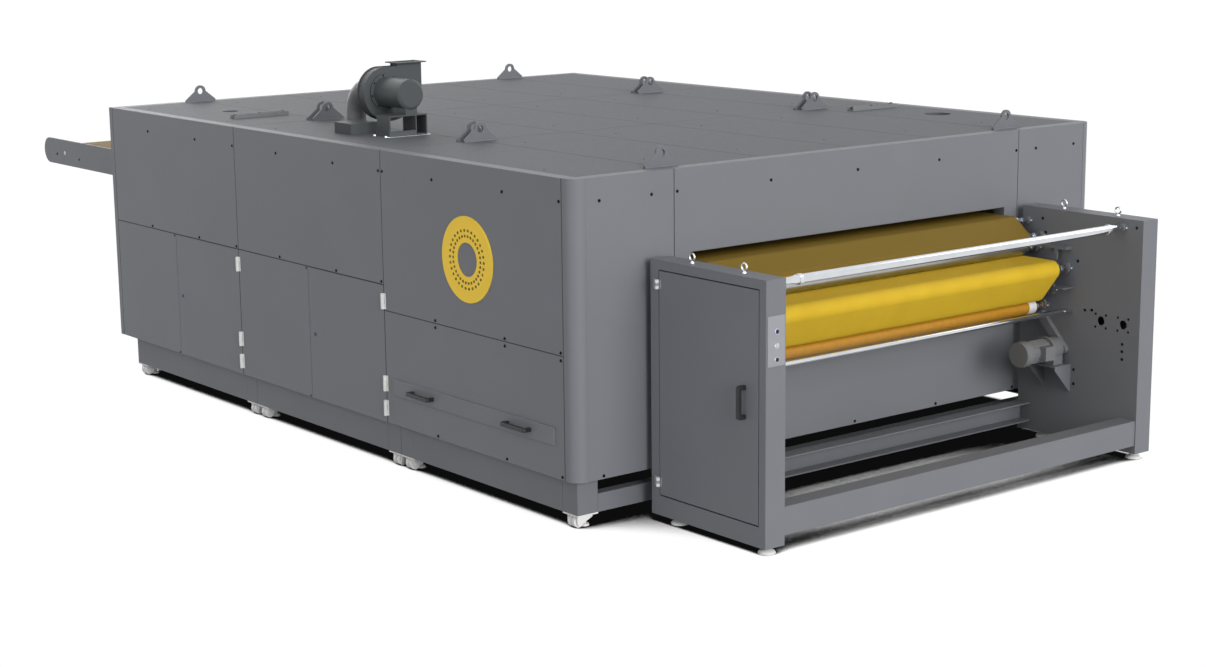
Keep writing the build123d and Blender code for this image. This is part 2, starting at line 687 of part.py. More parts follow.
def end_wall(end_x, slot_bottom):
    """An end wall of the housing: a panel at each side and a middle one with the belt's slot."""
    middle = HOUSING_WIDTH / 2 - END_SIDE_PANEL
    wall_z = (PANEL_BOTTOM_Z, ROOF_Z)
    for side in (-1, 1):
        block(end_x, (side * (middle + SEAM / 2), side * INNER_Y), wall_z)
    block(end_x, (-middle + SEAM / 2, middle - SEAM / 2), wall_z)
    slot_y = (-SLOT_WIDTH / 2, SLOT_WIDTH / 2)
    block(end_x, slot_y, (slot_bottom, SLOT_TOP_Z), mode=Mode.SUBTRACT)


with BuildPart() as outfeed_end_panels:
    end_wall((X_OUT - PANEL_THICKNESS, X_OUT), OUT_SLOT_BOTTOM_Z)
    chamfer(outfeed_end_panels.edges().group_by(Axis.X)[-1], EDGE_BREAK)
save(outfeed_end_panels, "outfeed_end_panels")

with BuildPart() as infeed_end_panels:
    end_wall((X_IN, X_IN + PANEL_THICKNESS), IN_SLOT_BOTTOM_Z)
    chamfer(infeed_end_panels.edges().group_by(Axis.X)[0], EDGE_BREAK)
save(infeed_end_panels, "infeed_end_panels")

# Roof: rows of flat panels over each module, with a round port in two of them
ROOF_PANEL_Z = (ROOF_Z - PANEL_THICKNESS, ROOF_Z)
ROW_EDGES = [Y_NEAR + row * HOUSING_WIDTH / ROOF_ROWS for row in range(ROOF_ROWS + 1)]
ROW_EDGES[0] = -INNER_Y
ROW_EDGES[-1] = INNER_Y
PORT_NEAR_AT = (X_IN + PORT_NEAR[0], Y_NEAR + PORT_NEAR[1])
PORT_FAR_AT = (X_OUT + PORT_FAR[0], Y_FAR - PORT_FAR[1])
with BuildPart() as roof_panels:
    for module in range(MODULES):
        x0, x1 = side_bay(module)
        if module == 0:
            x0 = X_IN + PANEL_THICKNESS + SEAM
        if module == MODULES - 1:
            x1 = X_OUT - PANEL_THICKNESS - SEAM
        for row in range(ROOF_ROWS):
            block((x0, x1), (ROW_EDGES[row] + SEAM / 2, ROW_EDGES[row + 1] - SEAM / 2), ROOF_PANEL_Z)
    chamfer(roof_panels.edges().group_by(Axis.Z)[-1], EDGE_BREAK)
    rod(PORT_NEAR_RADIUS, *PORT_NEAR_AT, ROOF_PANEL_Z, mode=Mode.SUBTRACT)
    rod(PORT_FAR_RADIUS, *PORT_FAR_AT, ROOF_PANEL_Z, mode=Mode.SUBTRACT)
save(roof_panels, "roof_panels")

# Inner frame: posts behind the seams and beams under the roof
POST_Z = (PANEL_BOTTOM_Z + FLOOR_THICKNESS, ROOF_Z - PANEL_THICKNESS - ROOF_BEAM)
POST_X = [
    X_IN + PANEL_THICKNESS + POST / 2,
    SEAMS_X[1],
    SEAMS_X[2],
    X_OUT - PANEL_THICKNESS - POST / 2,
]
with BuildPart() as housing_frame:
    for x in POST_X:
        block((x - POST / 2, x + POST / 2), (-INNER_Y, -INNER_Y + POST), POST_Z)
    mirror(about=Plane.XZ)
save(housing_frame, "housing_frame")

with BuildPart() as roof_beams:
    for x in POST_X:
        block((x - POST / 2, x + POST / 2), (-INNER_Y, INNER_Y), (POST_Z[1], POST_Z[1] + ROOF_BEAM))
save(roof_beams, "roof_beams")

# Lifting lugs: plates across the roof over the module joints
LUG_X = [SEAMS_X[0] + LUG_THICKNESS]
LUG_X += [SEAMS_X[i] + side * LUG_PAIR_SPREAD / 2 for i in (1, 2) for side in (-1, 1)]
LUG_X += [SEAMS_X[3] - LUG_THICKNESS]
LUG_Y = HOUSING_WIDTH / 2 - LUG_FROM_SIDE
with BuildPart() as lifting_lugs:
    for x in LUG_X:
        with BuildSketch(Plane.YZ.offset(x - LUG_THICKNESS / 2)):
            with BuildLine():
                foot = LUG_LENGTH / 2
                top = LUG_HOLE_RADIUS + LUG_HEAD
                Polyline(
                    (-LUG_Y - top, ROOF_Z + LUG_HEIGHT - top),
                    (-LUG_Y - foot, ROOF_Z + LUG_TOE),
                    (-LUG_Y - foot, ROOF_Z),
                    (-LUG_Y + foot, ROOF_Z),
                    (-LUG_Y + foot, ROOF_Z + LUG_TOE),
                    (-LUG_Y + top, ROOF_Z + LUG_HEIGHT - top),
                )
                ThreePointArc(
                    (-LUG_Y - top, ROOF_Z + LUG_HEIGHT - top),
                    (-LUG_Y, ROOF_Z + LUG_HEIGHT),
                    (-LUG_Y + top, ROOF_Z + LUG_HEIGHT - top),
                )
            make_face()
            with Locations((-LUG_Y, ROOF_Z + LUG_HEIGHT - top)):
                Circle(LUG_HOLE_RADIUS, mode=Mode.SUBTRACT)
        extrude(amount=LUG_THICKNESS)
    mirror(about=Plane.XZ)
save(lifting_lugs, "lifting_lugs")

# Two low rails on the roof: a shallow channel with an upright pin at each end and in the middle
RAIL_SPOTS = [
    (X_IN + ROOF_RAIL_NEAR[0], Y_NEAR + ROOF_RAIL_NEAR[1]),
    (X_OUT + ROOF_RAIL_FAR[0], Y_FAR - ROOF_RAIL_FAR[1]),
]
with BuildPart() as roof_rails:
    for x, y in RAIL_SPOTS:
        ends = (y - ROOF_RAIL_LENGTH / 2, y + ROOF_RAIL_LENGTH / 2)
        half = ROOF_RAIL_WIDTH / 2
        block((x - half, x + half), ends, (ROOF_Z, ROOF_Z + ROOF_RAIL_HEIGHT))
        block(
            (x - half + ROOF_RAIL_LIP, x + half - ROOF_RAIL_LIP),
            ends,
            (ROOF_Z + ROOF_RAIL_LIP, ROOF_Z + ROOF_RAIL_HEIGHT),
            mode=Mode.SUBTRACT,
        )
        for pin_y in (ends[0] + half, y, ends[1] - half):
            rod(ROOF_RAIL_PIN_RADIUS, x, pin_y, (ROOF_Z, ROOF_Z + ROOF_RAIL_PIN_HEIGHT))
save(roof_rails, "roof_rails")


# Belt path: a loop round eight rollers, seen from the operator's side, running clockwise
NOSE = (X_IN - NOSE_X, BELT_TOP_Z - BELT_THICKNESS - SEAT - NOSE_RADIUS, NOSE_RADIUS, 1)
TOP_GUIDE = (
    UNIT_X + TOP_GUIDE_X,
    BELT_TOP_Z - BELT_THICKNESS - SEAT - TOP_GUIDE_RADIUS,
    TOP_GUIDE_RADIUS,
    1,
)
DROP_GUIDE = (UNIT_X + DROP_GUIDE_X, DROP_GUIDE_Z, DROP_GUIDE_RADIUS, 1)
WRAP = (UNIT_X + WRAP_X, WRAP_Z, WRAP_RADIUS, -1)
OUT_NOSE = (
    UNIT_X + OUT_NOSE_X,
    WRAP_Z - WRAP_RADIUS - 2 * SEAT - BELT_THICKNESS - OUT_NOSE_RADIUS,
    OUT_NOSE_RADIUS,
    1,
)
RETURN = (
    UNIT_X + RETURN_X,
    BELT_RETURN_Z + BELT_THICKNESS + SEAT + RETURN_RADIUS,
    RETURN_RADIUS,
    1,
)
INNER_LOW = (
    X_IN + INNER_LOW_X,
    BELT_RETURN_Z + BELT_THICKNESS + SEAT + INNER_LOW_RADIUS,
    INNER_LOW_RADIUS,
    1,
)
INNER_HIGH = (
    X_IN + INNER_HIGH_X,
    NOSE[1] - NOSE_RADIUS - 2 * SEAT - BELT_THICKNESS - INNER_HIGH_RADIUS,
    INNER_HIGH_RADIUS,
    -1,
)
LOOP = [NOSE, TOP_GUIDE, DROP_GUIDE, WRAP, OUT_NOSE, RETURN, INNER_LOW, INNER_HIGH]


def leave_angle(a, b):
    """Direction, in radians, from roller a's centre to where the belt leaves it for roller b.

    side is 1 where the roller is inside the loop, on the right of the belt's travel, and -1 where
    it is outside. The belt's middle line touches both circles, so its direction turns from the line
    of centres by the angle whose sine is the difference of the signed radii over the distance.
    """
    ax, az, ar, aside = a
    bx, bz, br, bside = b
    half = SEAT + BELT_THICKNESS / 2
    distance = math.hypot(bx - ax, bz - az)
    along = math.atan2(bz - az, bx - ax)
    swing = math.asin((aside * (ar + half) - bside * (br + half)) / distance)
    travel = along - swing
    return travel + math.pi / 2


def belt_point(roller, angle, face):
    """A point of the belt on a roller: face is 1 on the loop's outer side, -1 on its inner side."""
    x, z, radius, side = roller
    reach = radius + SEAT + BELT_THICKNESS / 2 + side * face * BELT_THICKNESS / 2
    return x + side * reach * math.cos(angle), z + side * reach * math.sin(angle)


ANGLES = [leave_angle(LOOP[i], LOOP[(i + 1) % len(LOOP)]) for i in range(len(LOOP))]


def belt_piece(first, last):
    """The belt from where it meets one roller to where it leaves another, as a flat strip."""
    count = len(LOOP)
    rollers = [i % count for i in range(first, last + 1)]
    with BuildPart() as piece:
        with BuildSketch(Plane.XZ.offset(-BELT_WIDTH / 2)):
            with BuildLine():
                ends = []
                for face in (1, -1):
                    previous = None
                    for i in rollers:
                        meet = belt_point(LOOP[i], ANGLES[i - 1], face)
                        leave = belt_point(LOOP[i], ANGLES[i], face)
                        turn = (ANGLES[i - 1] - ANGLES[i]) % (2 * math.pi)
                        if LOOP[i][3] < 0:
                            turn = -((ANGLES[i] - ANGLES[i - 1]) % (2 * math.pi))
                        middle = belt_point(LOOP[i], ANGLES[i - 1] - turn / 2, face)
                        if previous is not None:
                            Line(previous, meet)
                        ThreePointArc(meet, middle, leave)
                        previous = leave
                        if i == rollers[0]:
                            ends.append(meet)
                    ends.append(leave)
                Line(ends[0], ends[2])
                Line(ends[1], ends[3])
            make_face()
        extrude(amount=BELT_WIDTH)
    return piece


def belt_run(a, b):
    """The straight run of the belt between two neighbouring rollers."""
    with BuildPart() as run:
        with BuildSketch(Plane.XZ.offset(-BELT_WIDTH / 2)):
            with BuildLine():
                Polyline(
                    belt_point(LOOP[a], ANGLES[a], 1),
                    belt_point(LOOP[b], ANGLES[a], 1),
                    belt_point(LOOP[b], ANGLES[a], -1),
                    belt_point(LOOP[a], ANGLES[a], -1),
                    close=True,
                )
            make_face()
        extrude(amount=BELT_WIDTH)
    return run


save(belt_run(0, 1), "belt_top_run")
save(belt_piece(1, 5), "belt_outfeed_wraps")
save(belt_run(5, 6), "belt_return_run")
save(belt_piece(6, 8), "belt_infeed_wraps")

# Rollers in the out-feed unit run in bearings on the cabinets' inner plates
UNIT_SHAFT = (NEAR_PLATE_Y + SEAT, FAR_PLATE_Y - SEAT)
DRIVE = (UNIT_X + DRIVE_X, BELT_RETURN_Z - SEAT - DRIVE_RADIUS, DRIVE_RADIUS)
TAKEOFF = (UNIT_X + TAKEOFF_X, TAKEOFF_Z, TAKEOFF_RADIUS)
UNIT_ROLLERS = [
    ("top_guide_roller", TOP_GUIDE, SMALL_SHAFT_RADIUS),
    ("drop_guide_roller", DROP_GUIDE, SMALL_SHAFT_RADIUS),
    ("wrap_roller", WRAP, SHAFT_RADIUS),
    ("outfeed_nose_roller", OUT_NOSE, SHAFT_RADIUS),
    ("return_roller", RETURN, SHAFT_RADIUS),
    ("drive_roller", DRIVE, SHAFT_RADIUS),
    ("takeoff_roller", TAKEOFF, SMALL_SHAFT_RADIUS),
]
for name, spot, shaft in UNIT_ROLLERS:
    save(turned_roller(spot[0], spot[1], spot[2], shaft, *UNIT_SHAFT), name)

# Each bearing is a round housing on an oval flange, bored for the shaft
BEARING_SPOTS = [(spot[0], spot[1], shaft) for name, spot, shaft in UNIT_ROLLERS]
with BuildPart() as roller_bearings:
    for x, z, shaft in BEARING_SPOTS:
        housing = shaft * BEARING_RATIO
        for plate, inward in ((NEAR_PLATE_Y, 1), (FAR_PLATE_Y, -1)):
            bearing_y = (plate, plate + inward * BEARING_THICKNESS)
            rod(housing, x, bearing_y, z)
            with BuildSketch(Plane(origin=(x, plate, z), x_dir=(1, 0, 0), z_dir=(0, inward, 0))):
                SlotOverall(2 * (housing + BEARING_EAR), 2 * BEARING_EAR)
            extrude(amount=BEARING_FLANGE)
            rod(shaft + SHAFT_CLEARANCE, x, bearing_y, z, mode=Mode.SUBTRACT)
save(roller_bearings, "roller_bearings")

# The guide bar is round, with flattened ends that are bolted to the cabinets
with BuildPart() as guide_bar:
    bar_x = UNIT_X + GUIDE_BAR_X
    flat_z = (GUIDE_BAR_Z - GUIDE_FLAT_THICKNESS / 2, GUIDE_BAR_Z + GUIDE_FLAT_THICKNESS / 2)
    flat_x = (bar_x - GUIDE_FLAT_WIDTH / 2, bar_x + GUIDE_FLAT_WIDTH / 2)
    near_flat = (NEAR_PLATE_Y, NEAR_PLATE_Y + GUIDE_FLAT_LENGTH)
    far_flat = (FAR_PLATE_Y - GUIDE_FLAT_LENGTH, FAR_PLATE_Y)
    rod(GUIDE_BAR_RADIUS, bar_x, (near_flat[1], far_flat[0]), GUIDE_BAR_Z)
    for flat in (near_flat, far_flat):
        block(flat_x, flat, flat_z)
        rod(GUIDE_FLAT_HOLE, bar_x, sum(flat) / 2, flat_z, mode=Mode.SUBTRACT)
save(guide_bar, "guide_bar")

# In-feed table: two side plates with round ends, a bed under the belt and bars between the plates
TABLE_Y = INFEED_PLATE_SPREAD / 2
PLATE_Z_LOW = INFEED_PLATE_TOP_Z - INFEED_PLATE_HEIGHT
PLATE_END = INFEED_PLATE_HEIGHT / 2
with BuildPart() as infeed_side_plates:
    with BuildSketch(Plane.XZ.offset(TABLE_Y - INFEED_PLATE_THICKNESS)):
        with BuildLine():
            Polyline(
                (X_IN - INFEED_REACH + PLATE_END, PLATE_Z_LOW),
                (X_IN, PLATE_Z_LOW),
                (X_IN, INFEED_PLATE_TOP_Z),
                (X_IN - INFEED_REACH + PLATE_END, INFEED_PLATE_TOP_Z),
            )
            RadiusArc(
                (X_IN - INFEED_REACH + PLATE_END, PLATE_Z_LOW),
                (X_IN - INFEED_REACH + PLATE_END, INFEED_PLATE_TOP_Z),
                PLATE_END,
            )
        make_face()
        with Locations((NOSE[0], NOSE[1])):
            Circle(SHAFT_RADIUS + SHAFT_CLEARANCE, mode=Mode.SUBTRACT)
    extrude(amount=INFEED_PLATE_THICKNESS)
    mirror(about=Plane.XZ)
save(infeed_side_plates, "infeed_side_plates")

save(turned_roller(NOSE[0], NOSE[1], NOSE_RADIUS, SHAFT_RADIUS, -TABLE_Y, TABLE_Y), "infeed_nose_roller")

BED_TOP_Z = BELT_TOP_Z - BELT_THICKNESS - SEAT
with BuildPart() as infeed_bed:
    bed_x = (NOSE[0] + NOSE_RADIUS + BED_BAR, X_IN)
    bed_y = TABLE_Y - INFEED_PLATE_THICKNESS
    block(bed_x, (-bed_y, bed_y), (BED_TOP_Z - BED_THICKNESS, BED_TOP_Z))
    for i in range(BED_BARS):
        x = bed_x[0] + BED_BAR + i * (bed_x[1] - bed_x[0] - 3 * BED_BAR) / (BED_BARS - 1)
        block((x, x + BED_BAR), (-bed_y, bed_y), (BED_TOP_Z - BED_BAR, BED_TOP_Z))
save(infeed_bed, "infeed_bed")

# Inner plates beside the belt carry the two hidden rollers
INNER_PLATE_Y = INNER_PLATE_SPREAD / 2
with BuildPart() as inner_side_plates:
    plate_x = (X_IN + PANEL_THICKNESS, X_OUT - PANEL_THICKNESS)
    plate_y = (-INNER_PLATE_Y, -INNER_PLATE_Y + INNER_PLATE_THICKNESS)
    block(plate_x, plate_y, (OUT_SLOT_BOTTOM_Z, SLOT_TOP_Z))
    for spot in (INNER_LOW, INNER_HIGH):
        rod(SHAFT_RADIUS + SHAFT_CLEARANCE, spot[0], plate_y, spot[1], mode=Mode.SUBTRACT)
    mirror(about=Plane.XZ)
save(inner_side_plates, "inner_side_plates")

with BuildPart() as inner_guide_rollers:
    for spot in (INNER_LOW, INNER_HIGH):
        rod(spot[2], spot[0], (-ROLLER_FACE / 2, ROLLER_FACE / 2), spot[1])
        rod(SHAFT_RADIUS, spot[0], (-INNER_PLATE_Y, INNER_PLATE_Y), spot[1])
save(inner_guide_rollers, "inner_guide_rollers")

# Out-feed cabinets: a post at each end, rails between them, and a full sheet facing the belt
FAR_CABINET_Y = (FAR_PLATE_Y, FAR_PLATE_Y + CABINET_WIDTH)
NEAR_FRAME_Y = (CABINET_Y[0], NEAR_PLATE_Y - CABINET_SHEET)
FAR_FRAME_Y = (FAR_PLATE_Y + CABINET_SHEET, FAR_CABINET_Y[1])
with BuildPart() as cabinet_posts:
    for y in (NEAR_FRAME_Y, FAR_FRAME_Y):
        block((UNIT_X, CABINET_DOOR_X[0]), y, (CABINET_BOTTOM_Z, CABINET_TOP_Z))
        block((CABINET_DOOR_X[1], UNIT_END_X), y, (CABINET_BOTTOM_Z, CABINET_TOP_Z))
    outer = cabinet_posts.edges().filter_by(Axis.Z)
    for end in (outer.group_by(Axis.X)[0], outer.group_by(Axis.X)[-1]):
        chamfer([end.sort_by(Axis.Y)[0], end.sort_by(Axis.Y)[-1]], EDGE_BREAK)
save(cabinet_posts, "cabinet_posts")

with BuildPart() as cabinet_rails:
    for y in (NEAR_FRAME_Y, FAR_FRAME_Y):
        block(CABINET_DOOR_X, y, (CABINET_BOTTOM_Z, CABINET_DOOR_BOTTOM_Z))
        block(CABINET_DOOR_X, y, (CABINET_DOOR_TOP_Z, CABINET_TOP_Z))
save(cabinet_rails, "cabinet_rails")

# The far sheet has two pass-through holes, each in a ring of four screw holes
with BuildPart() as cabinet_plates:
    sheet_z = (CABINET_BOTTOM_Z, CABINET_TOP_Z)
    far_sheet_y = (FAR_PLATE_Y, FAR_PLATE_Y + CABINET_SHEET)
    block((UNIT_X, UNIT_END_X), (NEAR_PLATE_Y - CABINET_SHEET, NEAR_PLATE_Y), sheet_z)
    block((UNIT_X, UNIT_END_X), far_sheet_y, sheet_z)
    for from_front in PASS_HOLES_FROM_FRONT:
        hole_x = UNIT_END_X - from_front
        rod(PASS_HOLE_RADIUS, hole_x, far_sheet_y, PASS_HOLE_Z, mode=Mode.SUBTRACT)
        for i in range(PASS_SCREWS):
            angle = (i + 1 / 2) * 2 * math.pi / PASS_SCREWS
            screw_x = hole_x + PASS_SCREW_RING * math.cos(angle)
            screw_z = PASS_HOLE_Z + PASS_SCREW_RING * math.sin(angle)
            rod(PASS_SCREW_RADIUS, screw_x, far_sheet_y, screw_z, mode=Mode.SUBTRACT)
    block(
        CABINET_DOOR_X,
        (FAR_CABINET_Y[1] - CABINET_SHEET, FAR_CABINET_Y[1]),
        (CABINET_DOOR_BOTTOM_Z, CABINET_DOOR_TOP_Z),
    )
save(cabinet_plates, "cabinet_plates")

with BuildPart() as cabinet_door:
    block(
        (CABINET_DOOR_X[0] + DOOR_GAP / 2, CABINET_DOOR_X[1] - DOOR_GAP),
        (CABINET_Y[0], CABINET_Y[0] + CABINET_DOOR_THICKNESS),
        (CABINET_DOOR_BOTTOM_Z + DOOR_GAP, CABINET_DOOR_TOP_Z - DOOR_GAP),
    )
    chamfer(cabinet_door.edges().group_by(Axis.Y)[0], EDGE_BREAK)
    for z in CABINET_HINGE_Z:
        door_hinge(CABINET_DOOR_X[0], CABINET_Y[0], z, CABINET_HINGE_HEIGHT, 1, HINGE_LEAF)
save(cabinet_door, "cabinet_door")

DOOR_PULL = pull_handle(0, CABINET_HANDLE_LENGTH)
with BuildPart() as cabinet_door_handle:
    pull_x = UNIT_END_X - CABINET_HANDLE_FROM_FRONT
    with Locations(Location((pull_x, CABINET_Y[0], CABINET_HANDLE_Z), (0, 90, 0))):
        add(DOOR_PULL)
save(cabinet_door_handle, "cabinet_door_handle")

CONTROL_Y = (CABINET_Y[0] + CABINET_Y[1]) / 2
with BuildPart() as control_plate:
    block(
        (UNIT_END_X, UNIT_END_X + CONTROL_THICKNESS),
        (CONTROL_Y - CONTROL_WIDTH / 2, CONTROL_Y + CONTROL_WIDTH / 2),
        (CONTROL_BOTTOM_Z, CONTROL_TOP_Z),
    )
save(control_plate, "control_plate")

with BuildPart() as control_buttons:
    for z in CONTROL_BUTTON_Z:
        face = UNIT_END_X + CONTROL_THICKNESS
        rod(CONTROL_BUTTON_RADIUS, (face, face + CONTROL_BUTTON_PROUD), CONTROL_Y, z)
save(control_buttons, "control_buttons")

CABINET_MIDDLES = [sum(y) / 2 for y in (CABINET_Y, FAR_CABINET_Y)]
with BuildPart() as unit_feet:
    for y in CABINET_MIDDLES:
        for x in (UNIT_X + FOOT_FROM_BACK, UNIT_END_X - FOOT_FROM_FRONT):
            with Locations((x, y, FOOT_THICKNESS / 2)):
                Cone(FOOT_RADIUS, FOOT_RADIUS - FOOT_TAPER, FOOT_THICKNESS)
            rod(FOOT_STEM_RADIUS, x, y, (0, CABINET_BOTTOM_Z))
            nut_z = CABINET_BOTTOM_Z - FOOT_NUT_HEIGHT
            with BuildSketch(Plane.XY.offset(nut_z)):
                with Locations((x, y)):
                    RegularPolygon(FOOT_NUT_RADIUS, 6)
            extrude(amount=FOOT_NUT_HEIGHT)
save(unit_feet, "unit_feet")

# Eye bolts: a flat ring with broken edges on a round collar
EYE_RING_Z = CABINET_TOP_Z + EYE_BOLT_COLLAR + EYE_BOLT_RADIUS
with BuildPart() as eye_bolts:
    for y in CABINET_MIDDLES:
        for x in (UNIT_X + EYE_BOLT_FROM_BACK, UNIT_END_X - EYE_BOLT_FROM_FRONT):
            ring_y = (y - EYE_BOLT_ROD, y + EYE_BOLT_ROD)
            rod(EYE_BOLT_RADIUS + EYE_BOLT_ROD, x, ring_y, EYE_RING_Z)
            rod(EYE_BOLT_COLLAR, x, y, (CABINET_TOP_Z, CABINET_TOP_Z + EYE_BOLT_COLLAR))
            rod(EYE_BOLT_RADIUS - EYE_BOLT_ROD, x, ring_y, EYE_RING_Z, mode=Mode.SUBTRACT)
save(eye_bolts, "eye_bolts")

# Rails between the cabinets
UNIT_INNER_Y = (NEAR_PLATE_Y, FAR_PLATE_Y)
with BuildPart() as front_rail:
    x1 = UNIT_END_X - FRONT_RAIL_INSET
    block((x1 - RAIL_SHEET, x1), UNIT_INNER_Y, (FRONT_RAIL_BOTTOM_Z, FRONT_RAIL_TOP_Z))
    block((x1 - FRONT_RAIL_DEPTH, x1), UNIT_INNER_Y, (FRONT_RAIL_TOP_Z - RAIL_SHEET, FRONT_RAIL_TOP_Z))
save(front_rail, "front_rail")

with BuildPart() as rear_beam:
    x0 = UNIT_X + REAR_BEAM_INSET
    block((x0, x0 + REAR_BEAM_DEPTH), UNIT_INNER_Y, (REAR_BEAM_BOTTOM_Z, REAR_BEAM_TOP_Z))
    block(
        (x0 + RAIL_SHEET, x0 + REAR_BEAM_DEPTH),
        UNIT_INNER_Y,
        (REAR_BEAM_BOTTOM_Z + RAIL_SHEET, REAR_BEAM_TOP_Z - RAIL_SHEET),
        mode=Mode.SUBTRACT,
    )
save(rear_beam, "rear_beam")

# Gearmotor bracket: an upright plate on the far cabinet, a shelf and a gusset at each end under it
GEAR_AT_X = UNIT_X + GEAR_X
SHELF_TOP_Z = GEAR_Z - GEAR_BODY_RADIUS - GEAR_FOOT_HEIGHT
BRACKET_X = (GEAR_AT_X - BRACKET_LENGTH / 2, GEAR_AT_X + BRACKET_LENGTH / 2)
BRACKET_Y = FAR_PLATE_Y - BRACKET_REACH
with BuildPart() as gearmotor_bracket:
    block(BRACKET_X, (BRACKET_Y, FAR_PLATE_Y), (SHELF_TOP_Z - BRACKET_SHEET, SHELF_TOP_Z))
    upright_y = FAR_PLATE_Y - BRACKET_SHEET
    block(BRACKET_X, (upright_y, FAR_PLATE_Y), (SHELF_TOP_Z - GUSSET_HEIGHT, SHELF_TOP_Z))
    for gusset_x in (BRACKET_X[0], BRACKET_X[1] - BRACKET_SHEET):
        with BuildSketch(Plane.YZ.offset(gusset_x)):
            with BuildLine():
                Polyline(
                    (upright_y, SHELF_TOP_Z - BRACKET_SHEET),
                    (BRACKET_Y, SHELF_TOP_Z - BRACKET_SHEET),
                    (BRACKET_Y, SHELF_TOP_Z - GUSSET_TOE),
                    (upright_y, SHELF_TOP_Z - GUSSET_HEIGHT),
                    close=True,
                )
            make_face()
        extrude(amount=BRACKET_SHEET)
save(gearmotor_bracket, "gearmotor_bracket")

# Gearmotor: a round gear case on a foot, a flange, a finned motor and its fan cowl
GEAR_BACK_Y = FAR_PLATE_Y - GUARD_THICKNESS - 2 * SEAT
GEAR_FRONT_Y = GEAR_BACK_Y - GEAR_BODY_LENGTH
MOTOR_START_Y = GEAR_FRONT_Y - GEAR_FLANGE_THICKNESS
MOTOR_END_Y = MOTOR_START_Y - GEAR_MOTOR_LENGTH
with BuildPart() as gearmotor:
    rod(GEAR_BODY_RADIUS, GEAR_AT_X, (GEAR_FRONT_Y, GEAR_BACK_Y), GEAR_Z)
    foot_x = (GEAR_AT_X - GEAR_FOOT_WIDTH / 2, GEAR_AT_X + GEAR_FOOT_WIDTH / 2)
    foot_top_z = GEAR_Z - GEAR_BODY_RADIUS / 2
    block(foot_x, (GEAR_FRONT_Y, GEAR_BACK_Y), (SHELF_TOP_Z, foot_top_z))
    rod(GEAR_FLANGE_RADIUS, GEAR_AT_X, (MOTOR_START_Y, GEAR_FRONT_Y), GEAR_Z)
    rod(GEAR_MOTOR_RADIUS - FIN_HEIGHT, GEAR_AT_X, (MOTOR_END_Y, MOTOR_START_Y), GEAR_Z)
    motor_plane = Plane(origin=(GEAR_AT_X, MOTOR_END_Y, GEAR_Z), x_dir=(1, 0, 0), z_dir=(0, 1, 0))
    with BuildSketch(motor_plane):
        with PolarLocations(GEAR_MOTOR_RADIUS - FIN_HEIGHT, FIN_COUNT):
            Rectangle(2 * FIN_HEIGHT, FIN_THICKNESS)
    extrude(amount=GEAR_MOTOR_LENGTH)
    rod(GEAR_COWL_RADIUS, GEAR_AT_X, (MOTOR_END_Y - GEAR_COWL_LENGTH, MOTOR_END_Y), GEAR_Z)
    chamfer(gearmotor.edges().filter_by(GeomType.CIRCLE).group_by(Axis.Y)[0], COWL_CHAMFER)
    box_end_y = MOTOR_START_Y - TERMINAL_BOX_SETBACK
    box_x = GEAR_AT_X + GEAR_MOTOR_RADIUS - TERMINAL_BOX_SETBACK
    block(
        (box_x, box_x + TERMINAL_BOX_DEPTH),
        (box_end_y - TERMINAL_BOX, box_end_y),
        (GEAR_Z - TERMINAL_BOX / 2, GEAR_Z + TERMINAL_BOX / 2),
    )
save(gearmotor, "gearmotor")

# Chain guard: a flat round-ended case from the gear case up to the driven roller
with BuildPart() as chain_guard:
    guard_plane = Plane(origin=(0, FAR_PLATE_Y, 0), x_dir=(1, 0, 0), z_dir=(0, -1, 0))
    drive_bearing = SHAFT_RADIUS * BEARING_RATIO
    with BuildSketch(guard_plane):
        with BuildLine():
            low = Vector(GEAR_AT_X + GUARD_FOOT, GEAR_Z)
            high = Vector(DRIVE[0], DRIVE[1] - drive_bearing - SEAT - GUARD_WIDTH / 2)
            side = (high - low).rotate(Axis.Z, 90).normalized() * (GUARD_WIDTH / 2)
            end = (high - low).normalized() * (GUARD_WIDTH / 2)
            Line(low + side, high + side)
            ThreePointArc(high + side, high + end, high - side)
            Line(high - side, low - side)
            ThreePointArc(low - side, low - end, low + side)
        make_face()
    extrude(amount=GUARD_THICKNESS)
save(chain_guard, "chain_guard")

# Two small brackets on the far cabinet: a T-shaped arm over the nose and a shelf beside the belt
with BuildPart() as side_brackets:
    arm_y = (FAR_PLATE_Y - ARM_FROM_PLATE - ARM_THICKNESS, FAR_PLATE_Y)
    arm_x = UNIT_X + GEAR_X
    block((arm_x - ARM_LENGTH / 2, arm_x + ARM_LENGTH / 2), arm_y, (ARM_Z, ARM_Z + ARM_WIDTH / 2))
    block(
        (arm_x - ARM_WIDTH / 4, arm_x + ARM_WIDTH / 4),
        (arm_y[0], arm_y[0] + ARM_THICKNESS),
        (ARM_Z - ARM_STEM, ARM_Z),
    )
    shelf_x = (UNIT_X + SHELF_X - SHELF_LENGTH / 2, UNIT_X + SHELF_X + SHELF_LENGTH / 2)
    block(shelf_x, (FAR_PLATE_Y - SHELF_DEPTH, FAR_PLATE_Y), (SHELF_Z, SHELF_Z + SHELF_THICKNESS))
save(side_brackets, "side_brackets")

# Blower on the roof: a scroll casing between two side plates, with an open outlet neck
BLOWER_AT_X = X_IN + BLOWER_X
BLOWER_AT_Y = Y_NEAR + BLOWER_Y
NECK_TOP_Z = BLOWER_Z + NECK_HEIGHT
SCROLL_END_RADIUS = SCROLL_START_RADIUS + SCROLL_GROWTH
SCROLL_STEPS = 9
SCROLL_POWER = 3.4


